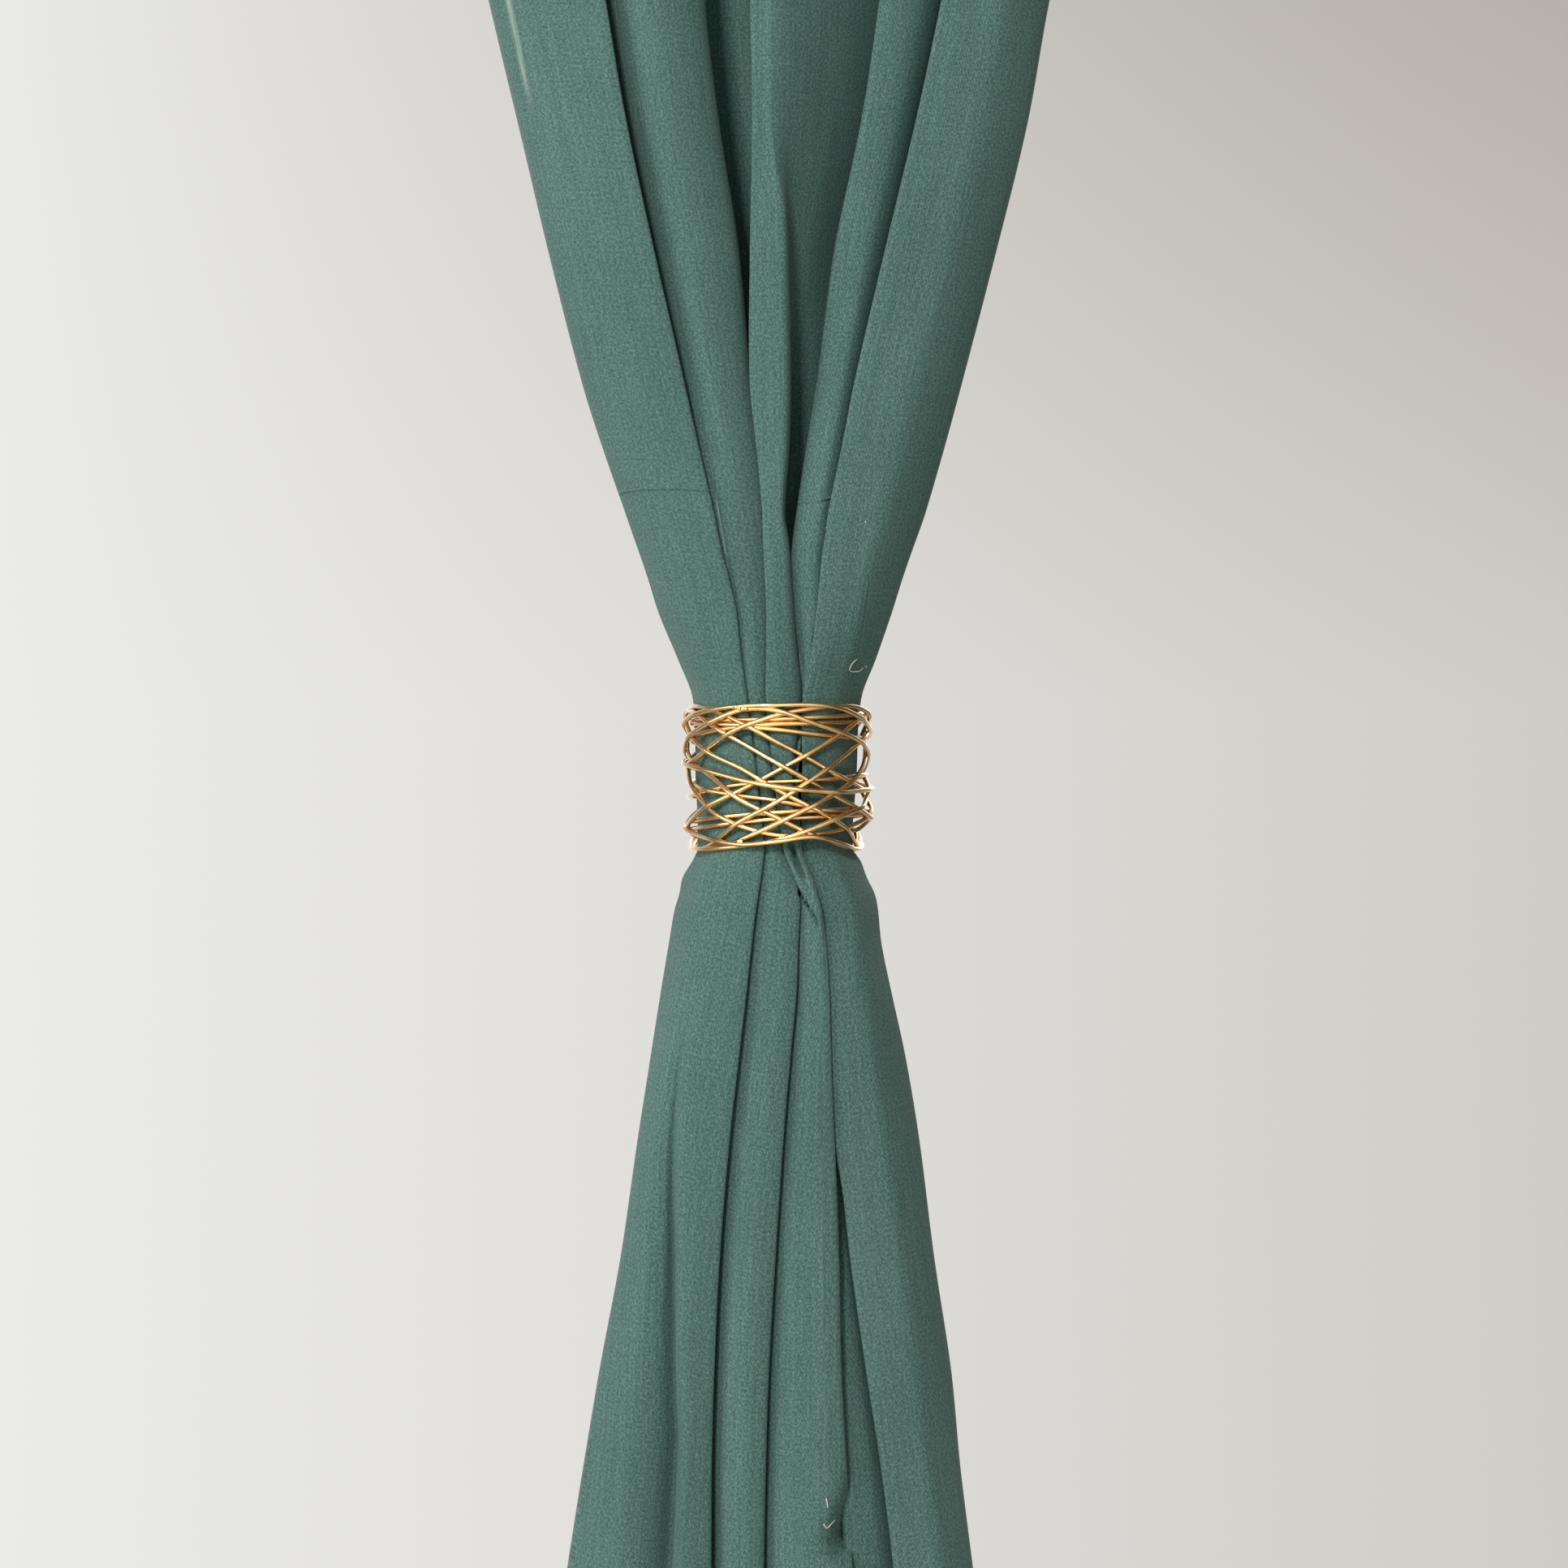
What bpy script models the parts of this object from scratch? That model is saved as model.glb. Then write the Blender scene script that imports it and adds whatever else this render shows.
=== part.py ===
"""Cotton curtain drawn through a wound wire ring.

One rectangle of cotton twill hangs from its top edge. It gathers into five folds where it passes
through an open ring of brass wire, and fans out again from there to its hem. Metres, +Z up, front
facing -Y, with the origin at the middle of the top edge.
"""

import math
from typing import NamedTuple

import bmesh
import bpy

# Driving dimensions of the cloth
DROP = 0.750
RING_DROP = 0.370  # from the top edge down to the ring's middle
HEM = RING_DROP - DROP  # height of the lower edge over the ring's middle
CLOTH_THICKNESS = 0.0010
RUN_SPACING = 0.0017  # between two layers that the ring presses together
OPEN_SPACING = 0.0042  # between the same layers where the cloth hangs free
SPACING_RATE = 1.3  # how much sooner the layers close up than the bundle does
BACK_RIDGE = 0.007  # half width of a ridge at the back, where the cloth hangs free
BACK_ROUND = 0.004  # radius of its two edges
BACK_DEPTH = 0.97  # share of the half depth that it reaches
NARROWEST_RIDGE = 0.0030  # least width of a ridge at the back
ROUND_SHARE = 0.45  # largest share of a ridge's width that one rounded edge takes
SHOULDER = 0.3  # where a rounded edge meets the front, as a share of its radius
CROWN_PLACE = 0.55  # where a ridge swells most, as a share of its width from its left edge
D_SHOWN = 3.0  # layer spacings between folds C and E where fold D stands on its own
FREE_POWER = 3.2  # of the curve round the bundle where it hangs free: nearly a box
RING_POWER = 2.1  # and inside the ring: nearly round
LAST_REACH = 0.995  # share of the bundle's half width past which its depth stays as it is
ROW_STEPS = (
    (RING_DROP, 0.239, 3),
    (0.239, 0.079, 5),
    (0.079, 0.023, 4),
    (0.023, -0.023, 3),
    (-0.023, -0.061, 3),
    (-0.061, -0.244, 5),
    (-0.244, HEM, 3),
)  # from, to and number of rows between, as heights over the ring's middle
TIP_STEPS = 2  # columns between two neighbouring points of a ridge at the front
BACK_STEPS = 1  # and at the back
RUN_STEPS = 2  # columns along a layer that runs from front to back

# Driving dimensions of the ring
WIRE_RADIUS = 0.00072
WIRE_SIDES = 5
WIRE_STEPS = 32  # straight pieces in one turn
STEP_SHIFT = 0.618  # of a step from one turn to the next, so that no two turns bend at the same place
RING_INNER = 0.0268  # from the ring's axis to the inner side of its innermost wires


class Section(NamedTuple):
    """Where the fold lines run at one height, measured from the ring's middle."""

    height: float
    left: float  # left outline
    a_edge: float  # right edge of fold A
    b_edge: float
    c_near: float  # left edge of fold C
    c_far: float
    d_edge: float  # left edge of fold D
    e_edge: float  # left edge of fold E
    right: float  # right outline
    depth: float  # half of the depth from front to back
    packed: float  # 1 where the ring presses the layers together, 0 where they hang free
    d_forward: float  # how far fold D comes to the front, as a share of the depth
    a_dip: float  # depth of the soft trough in fold A


SECTION_ROWS = (
    # height, left, a_edge, b_edge, c_near, c_far, d_edge, e_edge, right, depth, packed, d_forward, a_dip
    (RING_DROP, -0.118, -0.074, -0.032, -0.0095, -0.002, 0.048, 0.075, 0.108, 0.026, 0.00, 0.60, 0.003),
    (0.239, -0.0888, -0.0528, -0.0218, -0.0088, -0.0005, 0.0318, 0.0510, 0.0838, 0.027, 0.05, 0.60, 0.001),
    (0.139, -0.0648, -0.0325, -0.0095, -0.0088, 0.0033, 0.0160, 0.0298, 0.0613, 0.027, 0.15, 0.60, 0.000),
    (0.079, -0.0455, -0.0193, -0.0040, -0.0040, 0.0018, 0.0060, 0.0165, 0.0448, 0.026, 0.40, 0.50, 0.000),
    (0.049, -0.0355, -0.0118, -0.0030, -0.0030, 0.0050, 0.0060, 0.0125, 0.0348, 0.025, 0.70, 0.35, 0.000),
    (0.023, -0.0250, -0.0080, -0.0030, -0.0030, 0.0080, 0.0080, 0.0080, 0.0250, 0.0254, 1.00, 0.00, 0.000),
    (-0.023, -0.0248, -0.0040, 0.0023, 0.0023, 0.0080, 0.0083, 0.0083, 0.0240, 0.0254, 1.00, 0.00, 0.000),
    (-0.043, -0.0315, -0.0066, 0.0068, 0.0068, 0.0145, 0.0145, 0.0145, 0.0310, 0.026, 0.70, 0.00, 0.000),
    (-0.061, -0.0343, -0.0090, 0.0063, 0.0063, 0.0155, 0.0155, 0.0155, 0.0338, 0.027, 0.55, 0.00, 0.000),
    (-0.111, -0.0425, -0.0145, 0.0020, 0.0020, 0.0175, 0.0175, 0.0175, 0.0433, 0.028, 0.35, 0.10, 0.002),
    (-0.161, -0.0500, -0.0183, -0.0015, -0.0015, 0.0191, 0.0191, 0.0248, 0.0495, 0.028, 0.20, 0.40, 0.006),
    (-0.244, -0.0645, -0.0203, -0.0043, -0.0043, 0.0235, 0.0240, 0.0370, 0.0603, 0.027, 0.10, 0.58, 0.009),
    (HEM, -0.0840, -0.0220, -0.0060, -0.0060, 0.0290, 0.0300, 0.0470, 0.0770, 0.025, 0.00, 0.62, 0.010),
)
SECTIONS = [Section(*row) for row in SECTION_ROWS]


class Fold(NamedTuple):
    """One fold's ridge: how far it comes to the front, and how round its two edges are."""

    forward: float  # share of the depth, where the cloth hangs free
    near_round: float  # radius of its left edge
    far_round: float  # radius of its right edge
    crown: float  # how far its middle swells, as a share of its width


FOLD_A = Fold(0.96, 0.0140, 0.0040, 0.02)
FOLD_B = Fold(0.82, 0.0120, 0.0070, 0.10)
FOLD_C = Fold(0.80, 0.0045, 0.0045, 0.10)
FOLD_D = Fold(0.60, 0.0045, 0.0090, 0.08)
FOLD_E = Fold(0.97, 0.0045, 0.0140, 0.02)


class Side(NamedTuple):
    """How an outer fold turns to the back, in shares of the bundle's half depth."""

    outermost: float  # how far back its outermost line lies
    shoulder: float  # how far back it starts to turn inward
    shoulder_inset: float  # and how far inward it is there


LEFT_SIDE = Side(-0.02, 0.32, 0.02)
RIGHT_SIDE = Side(0.02, 0.36, 0.03)
TUCK = 0.45  # share of an outer fold's width that its selvedge comes back behind it
TUCK_DEPTH = 0.93  # share of the half depth where the selvedge lies
TUCK_MIDDLE = 0.45  # place of one more point on the way to it, as a share of that way
TUCK_MIDDLE_DEPTH = 0.90


def mix(a, b, share):
    """The value a share of the way from a to b."""
    return a + (b - a) * share


def section_at(height):
    """The section at any height, on a smooth curve through the measured ones."""
    rows = SECTIONS
    upper = max(i for i in range(len(rows) - 1) if rows[i].height >= height or i == 0)
    before, start = rows[max(upper - 1, 0)], rows[upper]
    end, after = rows[upper + 1], rows[min(upper + 2, len(rows) - 1)]
    span = end.height - start.height
    t = (height - start.height) / span
    values = [height]
    for p, a, b, q in list(zip(before, start, end, after, strict=True))[1:]:
        slope_a = (b - p) / (end.height - before.height) * span
        slope_b = (q - a) / (after.height - start.height) * span
        values.append(
            (2 * t**3 - 3 * t**2 + 1) * a
            + (t**3 - 2 * t**2 + t) * slope_a
            + (3 * t**2 - 2 * t**3) * b
            + (t**3 - t**2) * slope_b
        )
    return Section(*values)


def envelope(section, x):
    """How deep the gathered bundle is at x, as a share of its half depth: round at the ring."""
    middle = (section.left + section.right) / 2
    half = (section.right - section.left) / 2
    power = mix(FREE_POWER, RING_POWER, section.packed)
    reach = min(abs(x - middle) / half, LAST_REACH)
    return (1 - reach**power) ** (1 / power)


def ridge(section, fold, near, far, spacing, dip=0.0):
    """The five points of one fold's front, from its left edge to its right edge."""
    forward = mix(fold.forward, 1.0, section.packed)
    if far - near < spacing:
        middle = (near + far) / 2
        near, far = middle - spacing / 2, middle + spacing / 2
    near_round = min(fold.near_round, ROUND_SHARE * (far - near))
    far_round = min(fold.far_round, ROUND_SHARE * (far - near))
    crown = fold.crown * (far - near) * (1 - section.packed)

    def front(x, back):
        return x, -forward * section.depth * envelope(section, x) + back

    return [
        front(near, near_round),
        front(near + SHOULDER * near_round, SHOULDER * near_round),
        front(mix(near, far, CROWN_PLACE), dip - crown),
        front(far - SHOULDER * far_round, SHOULDER * far_round),
        front(far, far_round),
    ]


def back_ridge(section, near_throat, far_throat, line, spacing):
    """The four points of the ridge at the back that joins one fold to the next."""
    least, most = near_throat + spacing / 2, far_throat - spacing / 2
    near = mix(max(line - BACK_RIDGE, least), least, section.packed)
    far = mix(min(line + BACK_RIDGE, most), most, section.packed)
    edge = min(ROUND_SHARE * (far - near), BACK_ROUND)

    def back(x, forward):
        return x, BACK_DEPTH * section.depth * envelope(section, x) - forward

    return [
        back(near, edge),
        back(near + SHOULDER * edge, SHOULDER * edge),
        back(far - SHOULDER * edge, SHOULDER * edge),
        back(far, edge),
    ]


def throats(section, lines, spacing):
    """Where each fold is narrowest, at the back, far enough apart for the ridges between them."""
    found = [(near + far) / 2 for near, far in lines]
    found[0] = mix(section.a_edge, section.left, TUCK)
    found[-1] = mix(section.e_edge, section.right, TUCK)
    least = spacing + NARROWEST_RIDGE
    for n in range(1, len(found) - 1):
        found[n] = max(found[n], found[n - 1] + least)
    for n in range(len(found) - 2, 0, -1):
        found[n] = min(found[n], found[n + 1] - least)
    return found


def side_end(section, edge, tuck, side):
    """The four points that turn an outer fold to the back, from its selvedge to its outermost line."""
    inward = math.copysign(1.0, tuck - edge)
    outer = edge + inward * CLOTH_THICKNESS / 2

    def rim(x, share):
        return x, share * section.depth * envelope(section, x)

    return [
        rim(tuck, TUCK_DEPTH),
        rim(mix(edge, tuck, TUCK_MIDDLE), TUCK_MIDDLE_DEPTH),
        (outer + inward * side.shoulder_inset * section.depth, side.shoulder * section.depth),
        (outer, side.outermost * section.depth),
    ]


def section_points(height):
    """The points of a section from its left selvedge to its right one, and the steps after each."""
    s = section_at(height)
    spacing = mix(OPEN_SPACING, RUN_SPACING, min(s.packed * SPACING_RATE, 1.0))
    half = spacing / 2
    lines = (
        (s.left, s.a_edge - half),
        (s.a_edge + half, s.b_edge - half),
        (s.c_near + half, s.c_far - half),
        (s.d_edge + half, s.e_edge - half),
        (s.e_edge + half, s.right),
    )
    neck = throats(s, lines, spacing)
    hidden = 1 - min(max(s.e_edge - s.d_edge, 0.0) / (D_SHOWN * spacing), 1.0)
    between = (s.c_far + neck[2] + s.e_edge + neck[4]) / 4
    line_d = [mix(x, between, hidden) for x in lines[3]]
    left_tuck = mix(mix(s.left, s.a_edge, TUCK), neck[0] - spacing, s.packed)
    right_tuck = mix(mix(s.right, s.e_edge, TUCK), neck[4] + spacing, s.packed)
    left_end = side_end(s, s.left, left_tuck, LEFT_SIDE)
    right_end = side_end(s, s.right, right_tuck, RIGHT_SIDE)[::-1]
    fold_d = FOLD_D._replace(forward=s.d_forward)
    pieces = (
        (left_end + ridge(s, FOLD_A, *lines[0], spacing, s.a_dip)[1:], TIP_STEPS),
        (back_ridge(s, neck[0], neck[1], s.a_edge, spacing), BACK_STEPS),
        (ridge(s, FOLD_B, *lines[1], spacing), TIP_STEPS),
        (back_ridge(s, neck[1], neck[2], (s.b_edge + s.c_near) / 2, spacing), BACK_STEPS),
        (ridge(s, FOLD_C, *lines[2], spacing), TIP_STEPS),
        (back_ridge(s, neck[2], neck[3], (s.c_far + s.d_edge) / 2, spacing), BACK_STEPS),
        (ridge(s._replace(packed=0.0), fold_d, *line_d, spacing), TIP_STEPS),
        (back_ridge(s, neck[3], neck[4], s.e_edge, spacing), BACK_STEPS),
        (ridge(s, FOLD_E, *lines[4], spacing)[:-1] + right_end, TIP_STEPS),
    )
    points = [point for piece, _ in pieces for point in piece]
    steps = [
        count if n < len(piece) - 1 else RUN_STEPS for piece, count in pieces for n in range(len(piece))
    ]
    return points, steps[:-1]


def smooth_curve(points, steps):
    """A Catmull-Rom curve through the points, with the given number of pieces between neighbours."""
    found = []
    last = len(points) - 1
    for i, count in enumerate(steps):
        p, a, b, q = points[max(i - 1, 0)], points[i], points[i + 1], points[min(i + 2, last)]
        chord = math.dist(a, b)
        pull_a = chord / max(chord + math.dist(p, a), 1e-9)
        pull_b = chord / max(chord + math.dist(b, q), 1e-9)
        for n in range(count):
            t = n / count
            found.append(
                tuple(
                    (2 * t**3 - 3 * t**2 + 1) * a[k]
                    + (t**3 - 2 * t**2 + t) * (b[k] - p[k]) * pull_a
                    + (3 * t**2 - 2 * t**3) * b[k]
                    + (t**3 - t**2) * (q[k] - a[k]) * pull_b
                    for k in (0, 1)
                )
            )
    return [*found, points[-1]]


def curtain_rows():
    """The cloth's middle surface as rows of points, from the top edge down to the hem."""
    heights = [mix(top, foot, n / count) for top, foot, count in ROW_STEPS for n in range(count)]
    heights.append(ROW_STEPS[-1][1])
    return [
        [(x, y, height - RING_DROP) for x, y in smooth_curve(*section_points(height))]
        for height in heights
    ]


def material(name, colour, roughness, metallic=0.0):
    """A plain Principled material."""
    made = bpy.data.materials.new(name)
    made.use_nodes = True
    shader = made.node_tree.nodes["Principled BSDF"]
    shader.inputs["Base Color"].default_value = (*colour, 1.0)
    shader.inputs["Roughness"].default_value = roughness
    shader.inputs["Metallic"].default_value = metallic
    made.diffuse_color = (*colour, 1.0)
    return made


def object_of(name, mesh_data, finish):
    """A named object in the scene that holds the mesh."""
    mesh = bpy.data.meshes.new(name)
    mesh_data.to_mesh(mesh)
    mesh_data.free()
    mesh.materials.append(finish)
    mesh.shade_smooth()
    placed = bpy.data.objects.new(name, mesh)
    bpy.context.scene.collection.objects.link(placed)
    return placed


def build_curtain(finish):
    """The cloth: its middle surface as a grid of faces, thickened to both sides."""
    bm = bmesh.new()
    rows = [[bm.verts.new(point) for point in row] for row in curtain_rows()]
    for upper, lower in zip(rows, rows[1:]):
        for n in range(len(upper) - 1):
            bm.faces.new((upper[n], lower[n], lower[n + 1], upper[n + 1]))
    curtain = object_of("curtain", bm, finish)
    wall = curtain.modifiers.new("cloth thickness", "SOLIDIFY")
    wall.thickness = CLOTH_THICKNESS
    wall.offset = 0.0
    wall.use_even_offset = False
    return curtain


class Turn(NamedTuple):
    """One turn of wire: its height at the left, front, right and back, and how far out it lies."""

    left: float
    front: float
    right: float
    back: float
    outward: float  # beyond the innermost wires, in wire diameters


TURNS = (
    # level turns that lie against the cloth
    Turn(0.0172, 0.0174, 0.0178, 0.0170, 0.00),
    Turn(-0.0045, -0.0016, 0.0005, -0.0020, 0.00),
    Turn(-0.0148, -0.0120, -0.0108, -0.0136, 0.00),
    # slanting turns that cross them on the outside
    Turn(0.0160, 0.0216, 0.0158, 0.0215, 0.55),
    Turn(0.0105, 0.0203, 0.0092, 0.0060, 0.50),
    Turn(0.0050, 0.0189, 0.0175, 0.0030, 0.45),
    Turn(0.0200, 0.0105, -0.0040, 0.0110, 0.50),
    Turn(0.0180, -0.0038, -0.0205, 0.0010, 0.45),
    Turn(-0.0153, 0.0015, 0.0180, -0.0020, 0.55),
    Turn(-0.0222, -0.0078, 0.0120, -0.0060, 0.50),
    Turn(-0.0208, -0.0145, 0.0040, -0.0180, 0.45),
    Turn(-0.0168, -0.0212, -0.0217, -0.0216, 0.55),
)


def turn_path(turn, start):
    """Points along one closed turn, from the given share of a step past its front."""
    mean = (turn.left + turn.front + turn.right + turn.back) / 4
    sideways = (turn.right - turn.left) / 2
    lengthways = (turn.front - turn.back) / 2
    twist = (turn.front + turn.back - turn.left - turn.right) / 4
    radius = RING_INNER + WIRE_RADIUS * (1 + 2 * turn.outward)
    for n in range(WIRE_STEPS):
        angle = math.tau * (n + start) / WIRE_STEPS
        height = (
            mean + sideways * math.sin(angle) + lengthways * math.cos(angle) + twist * math.cos(2 * angle)
        )
        yield radius * math.sin(angle), -radius * math.cos(angle), height - RING_DROP


def turn_object(name, turn, start):
    """One closed turn of wire as a mesh object."""
    bm = bmesh.new()
    rings = []
    for x, y, z in turn_path(turn, start):
        radius = math.hypot(x, y)
        out = (x / radius, y / radius)
        ring = []
        for k in range(WIRE_SIDES):
            angle = math.tau * k / WIRE_SIDES
            reach = WIRE_RADIUS * math.cos(angle)
            ring.append(
                bm.verts.new((x + out[0] * reach, y + out[1] * reach, z + WIRE_RADIUS * math.sin(angle)))
            )
        rings.append(ring)
    for n, ring in enumerate(rings):
        following = rings[(n + 1) % len(rings)]
        for k in range(WIRE_SIDES):
            m = (k + 1) % WIRE_SIDES
            bm.faces.new((ring[k], following[k], following[m], ring[m]))
    mesh = bpy.data.meshes.new(name)
    bm.to_mesh(mesh)
    bm.free()
    placed = bpy.data.objects.new(name, mesh)
    bpy.context.scene.collection.objects.link(placed)
    return placed


def build_ring(finish):
    """The ring: every turn of wire joined to the turns that it crosses."""
    ring = turn_object("wire_ring", TURNS[0], 0.0)
    ring.data.materials.append(finish)
    for n, turn in enumerate(TURNS[1:], start=1):
        other = turn_object(f"turn_{n:02d}", turn, (n * STEP_SHIFT) % 1)
        other.hide_render = True
        other.display_type = "WIRE"
        joint = ring.modifiers.new(f"solder {n:02d}", "BOOLEAN")
        joint.operation = "UNION"
        joint.solver = "MANIFOLD"  # the exact solver loses some of these turns
        joint.object = other
    return ring


def main():
    """Clears the scene and builds the curtain and its ring."""
    for placed in list(bpy.data.objects):
        bpy.data.objects.remove(placed, do_unlink=True)
    cotton = material("teal cotton twill", (0.105, 0.210, 0.180), 0.92)
    brass = material("lacquered brass wire", (0.640, 0.400, 0.130), 0.32, metallic=1.0)
    build_curtain(cotton)
    build_ring(brass)


main()
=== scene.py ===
"""Cotton curtain gathered in a wire ring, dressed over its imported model.

Metres, +Z up, front facing -Y, origin at the middle of the curtain's top edge. The fold tables are in
millimetres, with heights measured from the ring's middle.
"""

from __future__ import annotations

import logging
import math
from dataclasses import dataclass
from typing import Iterable, NamedTuple, Sequence

import bmesh
import bpy
import numpy as np
from mathutils import Matrix, Vector, noise
from mathutils.bvhtree import BVHTree


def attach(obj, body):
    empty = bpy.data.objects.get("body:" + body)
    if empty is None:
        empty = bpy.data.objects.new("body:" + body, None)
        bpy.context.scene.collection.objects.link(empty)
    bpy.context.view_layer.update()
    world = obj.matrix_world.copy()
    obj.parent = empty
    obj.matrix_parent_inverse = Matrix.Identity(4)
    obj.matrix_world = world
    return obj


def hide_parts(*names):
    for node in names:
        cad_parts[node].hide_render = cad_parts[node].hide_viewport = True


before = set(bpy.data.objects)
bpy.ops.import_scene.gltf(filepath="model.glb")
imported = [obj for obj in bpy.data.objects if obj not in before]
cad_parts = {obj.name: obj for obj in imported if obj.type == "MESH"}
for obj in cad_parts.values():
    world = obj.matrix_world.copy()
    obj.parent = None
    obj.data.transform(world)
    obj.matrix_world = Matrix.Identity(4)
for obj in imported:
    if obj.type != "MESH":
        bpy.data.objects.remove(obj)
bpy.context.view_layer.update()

LOG = logging.getLogger("curtain")
MM = 0.001
TINY = 1e-9  # the least that a length or an area is divided by
BODY = "root"
THREAD_SIDES = 6  # flat sides of a sewn stitch or a loose thread

# The cut of the cloth and where the ring sits on it, in metres
FLAT_WIDTH = 0.600
DROP = 0.750
RING_DROP = 0.370

HIDDEN = ""  # in place of a fold's letter, for cloth at the back

Point = tuple[float, float]


def mix(a: float, b: float, share: float) -> float:
    """Returns the value a share of the way from a to b."""
    return a + (b - a) * share


def held(value: float, least: float = 0.0, most: float = 1.0) -> float:
    """Returns the value, or the nearer limit where it is outside them."""
    return min(max(value, least), most)


def ease(value: float, start: float, end: float) -> float:
    """Returns 0 before start and 1 after end, with a smooth step between, in either direction."""
    share = held((value - start) / (end - start))
    return share * share * (3 - 2 * share)


def cubic(a: float, b: float, slope_a: float, slope_b: float, t: float) -> float:
    """Returns the value at t, from 0 to 1, on the cubic curve from a to b with these slopes."""
    return (
        (2 * t**3 - 3 * t**2 + 1) * a
        + (t**3 - 2 * t**2 + t) * slope_a
        + (3 * t**2 - 2 * t**3) * b
        + (t**3 - t**2) * slope_b
    )


def outward(points: np.ndarray) -> np.ndarray:
    """Returns the direction out of a grid of points at each one, with length 1."""
    out = np.cross(np.gradient(points, axis=0), np.gradient(points, axis=1))
    return out / np.maximum(np.linalg.norm(out, axis=2, keepdims=True), TINY)


def linear(hex_colour: str) -> tuple[float, float, float, float]:
    """Turns an sRGB hex colour into linear red, green, blue and alpha."""
    parts = [int(hex_colour[n : n + 2], 16) / 255 for n in (1, 3, 5)]
    red, green, blue = (c / 12.92 if c <= 0.04045 else ((c + 0.055) / 1.055) ** 2.4 for c in parts)
    return red, green, blue, 1.0


def smooth_row(table: Sequence[tuple[float, ...]], height: float) -> tuple[float, ...]:
    """Reads a table at any height, on a smooth curve through its rows.

    Args:
        table: Rows of numbers, each led by its height, from the highest down.
        height: Where to read, in the table's own unit.

    Returns:
        The row at that height, its height first.
    """
    upper = max((i for i in range(len(table) - 1) if table[i][0] >= height), default=0)
    before, start = table[max(upper - 1, 0)], table[upper]
    end, after = table[upper + 1], table[min(upper + 2, len(table) - 1)]
    span = end[0] - start[0]
    t = (height - start[0]) / span
    found = [height]
    for p, a, b, q in list(zip(before, start, end, after, strict=True))[1:]:
        slope_a = (b - p) / (end[0] - before[0]) * span
        slope_b = (q - a) / (after[0] - start[0]) * span
        found.append(cubic(a, b, slope_a, slope_b, t))
    return tuple(found)


def smooth_line(points: Sequence[Point], steps: Sequence[int]) -> list[Point]:
    """Draws a smooth curve through points.

    Args:
        points: The points that it passes.
        steps: The number of pieces between each point and the next.

    Returns:
        The curve's points, both ends included.
    """
    found: list[Point] = []
    last = len(points) - 1
    for i, count in enumerate(steps):
        p, a, b, q = points[max(i - 1, 0)], points[i], points[i + 1], points[min(i + 2, last)]
        chord = math.dist(a, b)
        pull_a = chord / max(chord + math.dist(p, a), TINY)
        pull_b = chord / max(chord + math.dist(b, q), TINY)
        for n in range(count):
            x, y = (
                cubic(a[k], b[k], (b[k] - p[k]) * pull_a, (q[k] - a[k]) * pull_b, n / count)
                for k in (0, 1)
            )
            found.append((x, y))
    return [*found, points[-1]]


class FoldLines(NamedTuple):
    """Where the fold lines run at one height, from left to right, in millimetres."""

    height: float
    left: float  # left outline
    a_edge: float  # right edge of fold A
    b_edge: float  # right edge of fold B
    c_near: float  # left edge of fold C
    c_crease: float  # crease in fold C, where the ring draws its left part together
    c_far: float  # its right edge
    d_edge: float  # left edge of fold D
    e_edge: float  # left edge of fold E
    right: float  # right outline


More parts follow.
